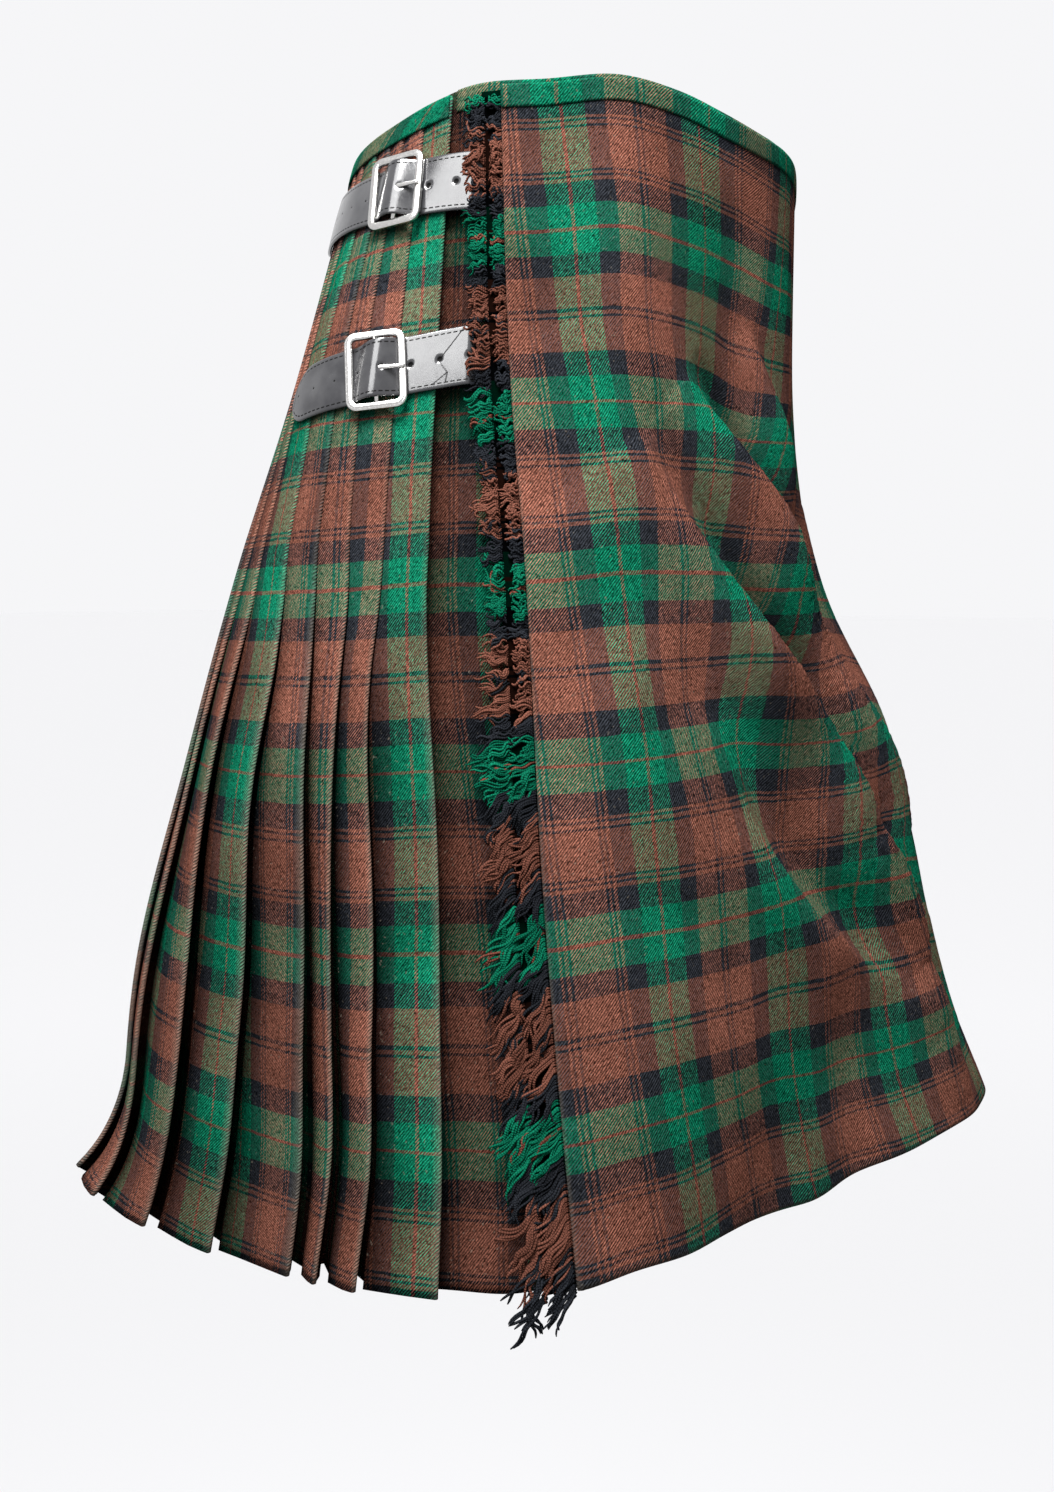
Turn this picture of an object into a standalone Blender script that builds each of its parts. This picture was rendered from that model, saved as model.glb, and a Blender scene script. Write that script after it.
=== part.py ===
"""A wrap-over kilt of checked wool, shown as it hangs when worn.

Metres, +Z up.  The origin is the centre of the waist.  The wearer's front
faces -Y and the wearer's right is -X.  Places on the cloth are given by an
azimuth in degrees (0 at the front, 90 at the wearer's left, 180 at the back,
270 at the right) and by a drop, the length measured down the cloth from its
top edge.  A depth is measured inwards from the outer face line of the cloth.
"""
from math import cos, degrees, pi, radians, sin, sqrt

import bmesh
import bpy
import numpy as np
from mathutils import Matrix, Vector

# ---- driving sizes -------------------------------------------------------
DROP = 0.610              # the cloth's length from waist to hem, 24 in
WAIST_SIDE = 0.158        # half width of the waist, side to side
WAIST_FRONT = 0.129       # half width of the waist, front to back
CLOTH = 0.0012            # thickness of the wool
SEAM_GAP = 0.0003         # clearance between pieces that meet
FELL = 0.240              # the pleats are stitched flat down to this drop
FOLD_PITCH = 0.0020       # spacing of the folded layers where they are stitched
HEM_PITCH = 0.0044        # their spacing at the hem, where they stand open
PLEAT_COUNT = 32
HIDDEN_SHARE = 0.62       # share of each pleat's width that is folded under it
UNDER_SLACK = 0.0022      # how much deeper than the pleats' folds the under apron hangs
FIRST_TUCK = 0.010        # how far the first pleat runs in under the over apron's fold
LAST_TUCK = 0.006         # turning of the last pleat, where the under apron joins it
UNDER_SHORT = 0.016       # how much shorter it is cut where the over apron hides it
BAND_HEIGHT = 0.0125      # strip sewn round the top edge
UNDER_RISE = 0.004        # how far the under apron stands above the over apron
STRAP_WIDTH = 0.0315      # 1 1/4 in leather
STRAP_THICK = 0.0018
BUCKLE_WIDTH = 0.036
BUCKLE_HEIGHT = 0.044
BUCKLE_BAND = 0.0040
BUCKLE_THICK = 0.0030
LOCKS_PER_FRINGE = 40

# The form: one row for each station round the waist, sizes in millimetres.
# azimuth, lift of the top edge, then the radius at each drop of FORM_DROPS.
FORM_DROPS = (0.14, 0.25, 0.36, 0.48, 0.61)
FORM_ROWS = (
    # az   lift  hip  fell thigh knee  hem
    (-170, -9, 168, 195, 222, 247, 272),
    (-150, -10, 173, 200, 227, 250, 273),
    (-125, -12, 185, 216, 246, 270, 285),
    (-100, -6, 194, 219, 237, 245, 246),
    (-80, 2, 173, 188, 201, 212, 223),
    (-65, 5, 163, 172, 181, 190, 204),
    (-50, 8, 161, 168, 175, 179, 185),
    (-35, 6, 144, 152, 160, 165, 167),
    (-20, 3, 134, 145, 155, 158, 157),
    (-5, 1, 134, 145, 154, 158, 157),
    (10, 0, 132, 145, 165, 172, 171),
    (25, -1, 130, 136, 184, 208, 236),
    (45, -2, 143, 156, 200, 232, 274),
    (70, -1, 171, 190, 218, 246, 272),
    (100, 0, 188, 212, 238, 262, 286),
    (130, -3, 180, 206, 233, 260, 284),
    (155, -7, 171, 198, 225, 251, 277),
)

# Edge of the over apron: drop and azimuth.
APRON_EDGE = ((0.0, -73.0), (0.10, -70.8), (0.25, -67.4), (0.42, -64.0), (0.61, -58.6))
APRON_FOLD_AZ = 68.0      # the over apron's other edge, a fold on the left hip
UNDER_END_AZ = 56.0       # the under apron's straight edge inside the left hip

# Soft folds of the over apron.  Each runs through three places, given as
# azimuth and drop; height, soft side and steep side in metres.
FOLDS = (
    # start          middle         end            high   soft   steep
    ((-46, 0.175), (-14, 0.302), (24, 0.475), 0.0095, 0.034, 0.012),
    ((-33, 0.150), (-5, 0.238), (34, 0.415), 0.0105, 0.032, 0.012),
    ((-10, 0.120), (-1, 0.180), (10, 0.235), 0.0050, 0.020, 0.010),
    ((-34, 0.345), (-10, 0.422), (18, 0.505), 0.0055, 0.028, 0.013),
    ((13, 0.415), (20, 0.480), (29, 0.590), 0.0065, 0.024, 0.012),
    ((52, 0.200), (46, 0.340), (50, 0.560), 0.0060, 0.030, 0.016),
)

# Crisp edges of the seven pleats behind the right hip: azimuth at the top,
# at the end of the stitching and at the hem.
HIP_PLEATS = (
    (276.5, 277.9, 283.4),
    (270.2, 271.9, 273.2),
    (265.2, 267.0, 268.0),
    (261.0, 262.0, 262.6),
    (256.6, 257.0, 252.6),
    (251.6, 251.8, 243.4),
    (246.2, 246.0, 236.2),
)
FIRST_BACK_PLEAT = (75.0, 75.2, 76.5)   # the pleat that starts under the left hip's fold

# Pleats whose lower corners swing out: azimuth, half spread, drop where it starts, reach.
KICKS = ((229.0, 9.0, 0.535, 0.024), (160.0, 8.0, 0.540, 0.007), (104.0, 7.0, 0.530, 0.008))

# Straps: azimuth and drop at the root, at the buckle and at the tip.
STRAPS = (
    # name          root             buckle           tip
    ("right_upper", (-67.0, 0.0530), (-94.3, 0.0450), (-136.0, 0.0330)),
    ("right_lower", (-66.0, 0.1420), (-91.8, 0.1475), (-108.5, 0.1560)),
    ("left", (70.2, 0.0480), (86.0, 0.0480), (103.0, 0.0480)),
)

# ---- the form of the cloth ----------------------------------------------
AZ_STEP = 1.0
DROP_STEP = 0.005
GRID_DROP = 0.66          # the form runs on below the hem for the fringe's tufts


def smooth(x):
    x = min(max(x, 0.0), 1.0)
    return x * x * (3 - 2 * x)


def curve_through(xs, ys, x):
    """A smooth curve through points, straight beyond its ends."""
    xs = np.asarray(xs, float)
    ys = np.asarray(ys, float)
    slope = np.diff(ys) / np.diff(xs)
    tangent = np.concatenate([slope[:1], (slope[1:] + slope[:-1]) / 2, slope[-1:]])
    i = np.clip(np.searchsorted(xs, x) - 1, 0, len(xs) - 2)
    width = xs[i + 1] - xs[i]
    t = (x - xs[i]) / width
    inside = ((2 * t**3 - 3 * t**2 + 1) * ys[i] + (t**3 - 2 * t**2 + t) * width * tangent[i]
              + (3 * t**2 - 2 * t**3) * ys[i + 1] + (t**3 - t**2) * width * tangent[i + 1])
    before = ys[0] + (x - xs[0]) * tangent[0]
    after = ys[-1] + (x - xs[-1]) * tangent[-1]
    return np.where(x < xs[0], before, np.where(x > xs[-1], after, inside))


def round_curve(azimuths, values, az):
    """A smooth closed curve round the waist."""
    xs = np.concatenate([[azimuths[-1] - 360], azimuths, [azimuths[0] + 360]])
    ys = np.concatenate([[values[-1]], values, [values[0]]])
    return curve_through(xs, ys, az)


GRID_AZ = np.arange(-180, 540 + AZ_STEP, AZ_STEP)
GRID_V = np.arange(-0.01, GRID_DROP + DROP_STEP, DROP_STEP)


def waist_radius(az):
    a = np.radians(az)
    return WAIST_SIDE * WAIST_FRONT / np.sqrt((WAIST_FRONT * np.sin(a))**2 + (WAIST_SIDE * np.cos(a))**2)


def fold_height(az, drop, fold):
    """How far one soft fold lifts the over apron at a place on it."""
    start, middle, end, high, soft, steep = fold
    reach = middle[0] - start[0], end[0] - middle[0]
    along = [start[0], middle[0], end[0]]
    drops = [start[1], middle[1], end[1]]
    if abs(end[0] - start[0]) > 8 and reach[0] * reach[1] > 0:
        order = np.argsort(along)
        line = curve_through(np.array(along)[order], np.array(drops)[order], az)
        slope = (end[1] - start[1]) / (radians(end[0] - start[0]) * 0.17)
        across = (drop - line) / sqrt(1 + slope**2)
        t = (az - start[0]) / (end[0] - start[0])
    else:
        line = curve_through(np.array(drops), np.array(along), drop)
        across = np.radians(line - az) * 0.19
        t = (drop - start[1]) / (end[1] - start[1])
    side = np.where(across > 0, soft, steep)
    rise = np.exp(-(across / side)**2)
    taper = np.clip(t, 0, 1)
    return high * rise * np.sin(pi * taper)**0.7


def build_form(with_folds):
    """Radius and height of the cloth on a grid of drops and azimuths."""
    azimuths = np.array([row[0] for row in FORM_ROWS], float)
    az = (GRID_AZ + 180) % 360 - 180
    stations = [waist_radius(azimuths)]
    for column in range(len(FORM_DROPS)):
        stations.append(np.array([row[2 + column] for row in FORM_ROWS]) / 1000)
    rings = np.array([round_curve(azimuths, ring, az) for ring in stations])
    rings[0] = waist_radius(az)
    drops = np.array((0.0,) + FORM_DROPS)
    radius = np.array([[float(curve_through(drops, rings[:, j], v)) for j in range(len(az))] for v in GRID_V])
    for middle, spread, start, reach in KICKS:
        swing = np.exp(-(((GRID_AZ - middle + 180) % 360 - 180) / spread)**2)
        opening = np.clip((GRID_V - start) / (DROP - start), 0, 1.3)**2
        radius = radius + reach * opening[:, None] * swing[None, :]
    if with_folds:
        grid_az, grid_v = np.meshgrid(az, GRID_V)
        for fold in FOLDS:
            radius = radius + fold_height(grid_az, grid_v, fold)
    slope = np.gradient(radius, DROP_STEP, axis=0)
    fall = np.sqrt(np.clip(1 - slope**2, 0.3, 1))
    height = -np.cumsum(fall, axis=0) * DROP_STEP
    top = int(round(-GRID_V[0] / DROP_STEP))
    lift = round_curve(azimuths, np.array([row[1] for row in FORM_ROWS]) / 1000, az)
    height = height - height[top] + lift
    a = np.radians(GRID_AZ)
    points = np.stack([radius * np.sin(a), -radius * np.cos(a), height], -1)
    along = np.gradient(points, axis=1)
    down = np.gradient(points, axis=0)
    normal = np.cross(down, along)
    normal /= np.linalg.norm(normal, axis=-1, keepdims=True)
    return points, normal


def sample(grid, az, drop):
    """Value of a grid at azimuths and drops, by bilinear blending."""
    column = (np.asarray(az, float) + 180) / AZ_STEP
    row = (np.asarray(drop, float) - GRID_V[0]) / DROP_STEP
    row, column = np.broadcast_arrays(row, column)
    i = np.clip(row.astype(int), 0, len(GRID_V) - 2)
    j = np.clip(column.astype(int), 0, len(GRID_AZ) - 2)
    s = (row - i)[..., None]
    t = (column - j)[..., None]
    return ((grid[i, j] * (1 - t) + grid[i, j + 1] * t) * (1 - s)
            + (grid[i + 1, j] * (1 - t) + grid[i + 1, j + 1] * t) * s)


PLAIN = build_form(False)
DRAPED = build_form(True)


def place(form, az, drop, depth):
    """A place on the cloth, moved in from its outer face line by a depth."""
    points, normal = form
    unit = sample(normal, az, drop)
    unit = unit / np.linalg.norm(unit, axis=-1, keepdims=True)
    return sample(points, az, drop) - unit * np.asarray(depth)[..., None]


def ruler(drop, start, end):
    """Azimuths and the arc length to each of them along one level of the plain form."""
    az = np.arange(start, end + 0.25, 0.5)
    line = sample(PLAIN[0], az, np.full_like(az, drop))
    arc = np.concatenate([[0.0], np.cumsum(np.linalg.norm(np.diff(line, axis=0), axis=1))])
    return az, arc


def apron_edge(drop):
    return float(curve_through([p[0] for p in APRON_EDGE], [p[1] for p in APRON_EDGE], drop))


def pitch(drop):
    return FOLD_PITCH + (HEM_PITCH - FOLD_PITCH) * smooth((drop - FELL) / (DROP - FELL))


# ---- making solids -------------------------------------------------------
def clear_scene():
    for old in list(bpy.data.objects):
        bpy.data.objects.remove(old, do_unlink=True)


def material(name, colour, roughness, metallic=0.0):
    made = bpy.data.materials.new(name)
    made.use_nodes = True
    shader = made.node_tree.nodes["Principled BSDF"]
    shader.inputs["Base Color"].default_value = (*colour, 1.0)
    shader.inputs["Roughness"].default_value = roughness
    shader.inputs["Metallic"].default_value = metallic
    return made


def add_object(name, mesh, finish):
    mesh.materials.append(finish)
    made = bpy.data.objects.new(name, mesh)
    bpy.context.scene.collection.objects.link(made)
    return made


def mesh_from(name, points, faces):
    work = bmesh.new()
    corners = [work.verts.new(p) for p in points]
    for face in faces:
        work.faces.new([corners[i] for i in face])
    bmesh.ops.recalc_face_normals(work, faces=work.faces)
    mesh = bpy.data.meshes.new(name)
    work.to_mesh(mesh)
    work.free()
    return mesh


def wall(name, outer, inner, finish):
    """A closed wall between two grids of points, rows down and columns along."""
    rows, columns = outer.shape[:2]
    points = np.concatenate([outer.reshape(-1, 3), inner.reshape(-1, 3)])
    half = rows * columns

    def at(i, j, side):
        return side * half + i * columns + j

    faces = []
    for i in range(rows - 1):
        for j in range(columns - 1):
            faces.append((at(i, j, 0), at(i + 1, j, 0), at(i + 1, j + 1, 0), at(i, j + 1, 0)))
            faces.append((at(i, j, 1), at(i, j + 1, 1), at(i + 1, j + 1, 1), at(i + 1, j, 1)))
    for j in range(columns - 1):
        for i in (0, rows - 1):
            faces.append((at(i, j, 0), at(i, j + 1, 0), at(i, j + 1, 1), at(i, j, 1)))
    for i in range(rows - 1):
        for j in (0, columns - 1):
            faces.append((at(i, j, 0), at(i + 1, j, 0), at(i + 1, j, 1), at(i, j, 1)))
    return add_object(name, mesh_from(name, points, faces), finish)


def offset_line(line, distance):
    """A line of places moved sideways, mitred at its corners."""
    step = np.diff(line, axis=0)
    step /= np.linalg.norm(step, axis=1, keepdims=True)
    side = np.stack([-step[:, 1], step[:, 0]], 1)
    before = np.vstack([side[:1], side])
    after = np.vstack([side, side[-1:]])
    turn = 1 + np.sum(before * after, axis=1, keepdims=True)
    return line + distance * (before + after) / turn


# ---- cloth pieces --------------------------------------------------------
def pleat_edges(drop):
    """Azimuths of the crisp edges at one drop, from the left hip's fold to the right hip."""
    def at_drop(row):
        return float(curve_through([0.0, FELL, DROP], row, drop))

    hip = [at_drop(row) for row in reversed(HIP_PLEATS)]
    first = at_drop(FIRST_BACK_PLEAT)
    back = PLEAT_COUNT - len(HIP_PLEATS)
    step = (hip[0] - first) / back
    low = smooth((drop - FELL) / (DROP - FELL))
    spaced = [first + step * (i + 0.16 * low * sin(2.4 * i)) for i in range(back)]
    return [APRON_FOLD_AZ] + spaced + hip


def pleat_profile(drop):
    """The folded line of the back at one drop, as arc length and depth."""
    az, arc = ruler(drop, 40, 300)
    edges = np.interp(pleat_edges(drop), az, arc)
    width = np.diff(edges)
    layer = pitch(drop)
    line = [(edges[0] - FIRST_TUCK, 2 * layer + SEAM_GAP)]
    for j in range(1, len(edges)):
        w = width[j - 1]
        tuck = HIDDEN_SHARE * min(w, width[j]) if j < len(width) else LAST_TUCK
        steep = 2 * layer / w
        line += [
            (edges[j - 1], 2 * layer),
            (edges[j], 0.0),
            (edges[j], layer),
            (edges[j] - tuck, layer + tuck * steep),
        ]
        if j < len(edges) - 1:
            line.append((edges[j] - tuck, 2 * layer + tuck * steep))
    return np.array(line), az, arc


PLEAT_DROPS = (0.0, 0.055, 0.11, 0.165, 0.24, 0.32, 0.41, 0.50, 0.57, 0.61)


def pleated_back(finish):
    outer = []
    inner = []
    for drop in PLEAT_DROPS:
        line, az, arc = pleat_profile(drop)
        for side, rows in ((CLOTH / 2, inner), (-CLOTH / 2, outer)):
            moved = offset_line(line, side)
            rows.append(place(PLAIN, np.interp(moved[:, 0], arc, az), drop, moved[:, 1]))
    return wall("pleated_back", np.array(outer), np.array(inner), finish)


def panel(name, form, drops, left, right, columns, depth, finish, lift=0.0, shorten=None):
    """A flat-lying panel between two edges, each an azimuth for each drop."""
    faces = []
    for side in (-CLOTH / 2, CLOTH / 2):
        rows = []
        for drop in drops:
            az = np.linspace(left(drop), right(drop), columns)
            short = shorten(az) * drop / DROP if shorten else 0.0
            rows.append(place(form, az, drop - lift - short, np.full(columns, depth(drop) + side)))
        faces.append(np.array(rows))
    return wall(name, faces[0], faces[1], finish)


def last_pleat_edge(drop):
    return pleat_edges(drop)[-1] - 360


def under_start(drop):
    """The under apron starts inside the last pleat, behind its crisp edge."""
    return last_pleat_edge(drop) - 1.8


def under_depth(drop):
    return 2 * pitch(drop) + SEAM_GAP + UNDER_SLACK * smooth(drop / FELL)


def under_shorter(az):
    """The under apron hangs a little shorter than the folds of the over apron in front of it."""
    return UNDER_SHORT * np.clip((az + 62) / 40, 0, 1)


# ---- fringes -------------------------------------------------------------
def fringe(name, gap_from_edge, strip, length, finish):
    """Locks of yarn on a narrow strip beside the over apron's edge."""
    top, bottom = 0.0145, DROP - 0.004
    pitch_down = (bottom - top) / LOCKS_PER_FRINGE
    lock_share = 0.68
    drops = []
    for k in range(LOCKS_PER_FRINGE):
        drops += [top + k * pitch_down, top + (k + lock_share) * pitch_down]
    half = CLOTH / 2

    def spot(drop, away, depth):
        az = apron_edge(drop) - degrees(away / 0.175)
        return place(PLAIN, np.array([az]), drop, np.array([depth]))[0]

    points = []
    for drop in drops:
        near, far = gap_from_edge, gap_from_edge + strip
        points += [spot(drop, near, -half), spot(drop, far, -half), spot(drop, far, half), spot(drop, near, half)]
    faces = [(0, 1, 2, 3)]
    last = 4 * (len(drops) - 1)
    faces.append((last, last + 3, last + 2, last + 1))
    for k in range(len(drops) - 1):
        a, b = 4 * k, 4 * (k + 1)
        for i, j in ((0, 1), (2, 3), (3, 0)):
            faces.append((a + i, b + i, b + j, a + j))
        if k % 2:
            faces.append((a + 1, b + 1, b + 2, a + 2))
            continue
        loose = smooth((drops[k] - 0.36) / 0.22)
        wave = sin(1.9 * k + 7 * gap_from_edge * 1000)
        reach = length * (0.90 + 0.10 * wave)
        droop = (0.0016 + 0.0105 * loose) * (1 + 0.12 * wave)
        if k >= len(drops) - 4:
            droop += 0.010
        high = drops[k + 1] - drops[k]
        ring = (a + 1, b + 1, b + 2, a + 2)
        for part, slim in ((0.5, 0.80), (1.0, 0.42)):
            away = gap_from_edge + strip + reach * part * (1 - 0.25 * loose)
            middle = (drops[k] + drops[k + 1]) / 2 + droop * part**1.4
            tall = high / 2 * slim * (1 - 0.25 * loose)
            thin = half * (0.9 if part < 1 else 0.6)
            curl = -0.0006 * sin(pi * part)
            start = len(points)
            for up, side in ((-1, -1), (1, -1), (1, 1), (-1, 1)):
                points.append(spot(middle + up * tall, away, curl + side * thin))
            fresh = tuple(range(start, start + 4))
            for i in range(4):
                j = (i + 1) % 4
                faces.append((ring[i], ring[j], fresh[j], fresh[i]))
            ring = fresh
        faces.append(ring)
    return add_object(name, mesh_from(name, points, faces), finish)


# ---- straps and buckles --------------------------------------------------
ON_PLEATS = 0.0020        # middle of a strap that lies on the pleats, out from the face line
UNDER_FRINGE = -0.0022    # middle of a strap where it runs under the fringe
OVER_BAR = 0.0086         # middle of a strap where it crosses the buckle's bar
BAR_HEIGHT = 0.0048       # middle of the buckle, out from the face line
BAR_RADIUS = 0.0013
HUMP_REACH = 0.0150       # half length of the strap's rise over the bar
CHAPE_REACH = 0.0085
CHAPE_WIDTH = 0.0150
CHAPE_THICK = 0.0010


def hump(distance, reach, low, high):
    if abs(distance) >= reach:
        return low
    return low + (high - low) * cos(pi * distance / 2 / reach)**2


def strip_between(name, stations, width_at, thick, finish):
    """A flat strip along stations of azimuth, drop and height, narrowed by width_at."""
    grids = []
    for side in (-thick / 2, thick / 2):
        rows = []
        for across in (-0.5, 0.5):
            row = []
            for k, (az, drop, out) in enumerate(stations):
                here = drop + across * width_at(k)
                row.append(place(PLAIN, np.array([az]), here, np.array([side - out]))[0])
            rows.append(row)
        grids.append(np.array(rows))
    return wall(name, grids[0], grids[1], finish)


def arc_between(az, other, drop):
    line = sample(PLAIN[0], np.linspace(az, other, 9), np.full(9, drop))
    return float(np.sum(np.linalg.norm(np.diff(line, axis=0), axis=1)))


def strap(name, root, buckle, tip, finish):
    drops = [root[1], buckle[1], tip[1]]
    azs = [root[0], buckle[0], tip[0]]
    order = np.argsort(azs)
    toward = 1 if root[0] > buckle[0] else -1
    seat = place(PLAIN, np.array([buckle[0]]), buckle[1], np.array([0.0]))[0]
    fine = degrees(0.0024 / np.linalg.norm(seat[:2])) * toward
    near = [buckle[0] + fine * k for k in range(7, -8, -1)]
    coming = np.linspace(root[0], near[0], max(int(abs(root[0] - near[0]) / 1.5), 2))
    going = np.linspace(near[-1], tip[0], max(int(abs(near[-1] - tip[0]) / 2.2), 2))
    rounding = [tip[0] + (going[-2] - tip[0]) * share for share in (0.6, 0.3, 0.12)]
    stations = []
    for az in list(coming[:-1]) + near + list(going[1:-1]) + rounding + [tip[0]]:
        drop = float(curve_through(np.array(azs, float)[order], np.array(drops)[order], az))
        side = 1 if (az - buckle[0]) * toward > 0 else -1
        distance = side * arc_between(az, buckle[0], drop)
        out = hump(distance, HUMP_REACH, ON_PLEATS, OVER_BAR)
        if toward > 0:
            sunk = smooth((az - (last_pleat_edge(drop) + 1.1)) / 2.6)
            out = out + (UNDER_FRINGE - ON_PLEATS) * sunk
        stations.append((az, drop, out))
    radius = STRAP_WIDTH / 2

    def width_at(k):
        left = arc_between(stations[k][0], stations[-1][0], stations[k][1])
        if left >= radius:
            return STRAP_WIDTH
        return max(STRAP_WIDTH * sqrt(max(1 - (1 - left / radius)**2, 0)), 0.006)

    return strip_between("strap_" + name, stations, width_at, STRAP_THICK, finish)


def chape(name, buckle, finish):
    """A leather loop sewn to the pleats, which holds the buckle's bar."""
    seat = place(PLAIN, np.array([buckle[0]]), buckle[1], np.array([0.0]))[0]
    spread = degrees(CHAPE_REACH / np.linalg.norm(seat[:2]))
    stations = []
    for t in np.linspace(-1.15, 1.15, 15):
        out = hump(t * CHAPE_REACH, CHAPE_REACH, 0.00145, BAR_HEIGHT + BAR_RADIUS + SEAM_GAP + CHAPE_THICK / 2)
        stations.append((buckle[0] + spread * t, buckle[1], out))
    return strip_between("chape_" + name, stations, lambda k: CHAPE_WIDTH, CHAPE_THICK, finish)


def seat_matrix(az, drop):
    """Axes at a place on the cloth: X along it to the wearer's left, Y up it, Z out of it."""
    here = place(PLAIN, np.array([az, az + 2.0, az - 2.0]), drop, np.zeros(3))
    along = Vector(here[1] - here[2]).normalized()
    lower = place(PLAIN, np.array([az]), drop + 0.02, np.zeros(1))[0]
    up = Vector(here[0] - lower).normalized()
    out = along.cross(up).normalized()
    up = out.cross(along)
    turned = Matrix((along, up, out)).transposed().to_4x4()
    turned.translation = Vector(here[0])
    return turned


def buckle_frame(name, az, drop, finish):
    """A rectangular frame with round corners and a centre bar whose ends show as pins."""
    corner = 0.008
    path = []
    for cx, cy, start in ((1, 1, 0), (-1, 1, 90), (-1, -1, 180), (1, -1, 270)):
        for turn in (0, 30, 60, 90):
            a = radians(start + turn)
            x = cx * (BUCKLE_WIDTH / 2 - corner)
            y = cy * (BUCKLE_HEIGHT / 2 - corner)
            path.append((x, y, cos(a), sin(a)))
    section = []
    for k in range(8):
        a = radians(22.5 + 45 * k)
        section.append((BUCKLE_BAND / 2 * cos(a) * 1.05, BUCKLE_THICK / 2 * sin(a) * 1.05))
    points = []
    for x, y, nx, ny in path:
        for across, up in section:
            reach = corner - BUCKLE_BAND / 2 + across
            points.append((x + nx * reach, y + ny * reach, up))
    ring = len(section)
    faces = []
    for i in range(len(path)):
        j = (i + 1) % len(path)
        for k in range(ring):
            m = (k + 1) % ring
            faces.append((i * ring + k, j * ring + k, j * ring + m, i * ring + m))
    frame = add_object("buckle_" + name, mesh_from("buckle_" + name, points, faces), finish)
    work = bmesh.new()
    bar_length = BUCKLE_HEIGHT + 0.0024
    bmesh.ops.create_cone(work, cap_ends=True, segments=8, radius1=BAR_RADIUS, radius2=BAR_RADIUS,
                          depth=bar_length, matrix=Matrix.Rotation(pi / 2, 4, "X"))
    mesh = bpy.data.meshes.new("bar_" + name)
    work.to_mesh(mesh)
    work.free()
    bar = add_object("bar_guide_" + name, mesh, finish)
    bar.hide_render = True
    bar.display_type = "WIRE"
    joined = frame.modifiers.new("bar", "BOOLEAN")
    joined.operation = "UNION"
    joined.object = bar
    turned = seat_matrix(az, drop) @ Matrix.Translation((0, 0, BAR_HEIGHT))
    frame.matrix_world = turned
    bar.matrix_world = turned
    return frame


def prong(name, az, drop, toward, finish):
    """The buckle's tongue, from the strap's hole to the frame's side rail."""
    start = Vector((0.0012 * toward, 0, 0.0108))
    end = Vector(((BUCKLE_WIDTH / 2 - 0.0008) * toward, 0, 0.0077))
    points = []
    sides = 8
    for t, radius in ((0.0, 0.0010), (0.6, 0.0010), (0.92, 0.0009), (1.0, 0.0005)):
        middle = start.lerp(end, t)
        for k in range(sides):
            a = 2 * pi * k / sides
            points.append(middle + Vector((0, radius * cos(a), radius * sin(a))))
    faces = [tuple(range(sides)), tuple(range(3 * sides, 4 * sides))]
    for i in range(3):
        for k in range(sides):
            m = (k + 1) % sides
            faces.append((i * sides + k, i * sides + m, (i + 1) * sides + m, (i + 1) * sides + k))
    made = add_object("prong_" + name, mesh_from("prong_" + name, points, faces), finish)
    made.matrix_world = seat_matrix(az, drop)
    return made


# ---- the kilt ------------------------------------------------------------
def build():
    clear_scene()
    wool = material("wool check", (0.10, 0.16, 0.10), 0.9)
    wool_under = material("wool check under", (0.07, 0.11, 0.08), 0.9)
    yarn = material("fringe yarn", (0.20, 0.13, 0.08), 0.95)
    leather = material("black strap leather", (0.02, 0.02, 0.022), 0.3)
    nickel = material("nickel", (0.78, 0.76, 0.72), 0.22, 1.0)

    drops = np.concatenate([np.linspace(0, 0.12, 4), np.linspace(0.16, 0.57, 12), [DROP]])
    panel("over_apron", DRAPED, drops, apron_edge, lambda v: APRON_FOLD_AZ - 0.2, 33, lambda v: 0.0, wool)
    panel("under_apron", PLAIN, np.linspace(0, DROP, 12), under_start, lambda v: UNDER_END_AZ,
          29, under_depth, wool_under, lift=UNDER_RISE, shorten=under_shorter)
    pleated_back(wool)

    band_out = CLOTH + 2 * SEAM_GAP
    band_drops = (0.0, BAND_HEIGHT)
    panel("band_over_apron", DRAPED, band_drops, lambda v: apron_edge(v) + 0.1, lambda v: APRON_FOLD_AZ - 0.2,
          40, lambda v: -band_out, wool)
    panel("band_back", PLAIN, band_drops, lambda v: APRON_FOLD_AZ, lambda v: pleat_edges(v)[-1],
          56, lambda v: -band_out, wool)
    panel("band_under_apron", PLAIN, band_drops, lambda v: last_pleat_edge(v) + 0.8, lambda v: UNDER_END_AZ,
          28, lambda v: under_depth(v) - band_out, wool_under, lift=UNDER_RISE)

    fringe("fringe_outer", 0.0003, 0.0020, 0.0078, yarn)
    fringe("fringe_inner", 0.0114, 0.0020, 0.0084, yarn)

    for name, root, buckle, tip in STRAPS:
        strap(name, root, buckle, tip, leather)
        chape(name, buckle, leather)
        buckle_frame(name, buckle[0], buckle[1], nickel)
        prong(name, buckle[0], buckle[1], 1 if root[0] > buckle[0] else -1, nickel)


build()
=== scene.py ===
from math import cos, degrees, pi, radians, sin, sqrt

import bmesh
import bpy
import numpy as np
from mathutils import Matrix, Vector


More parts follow.
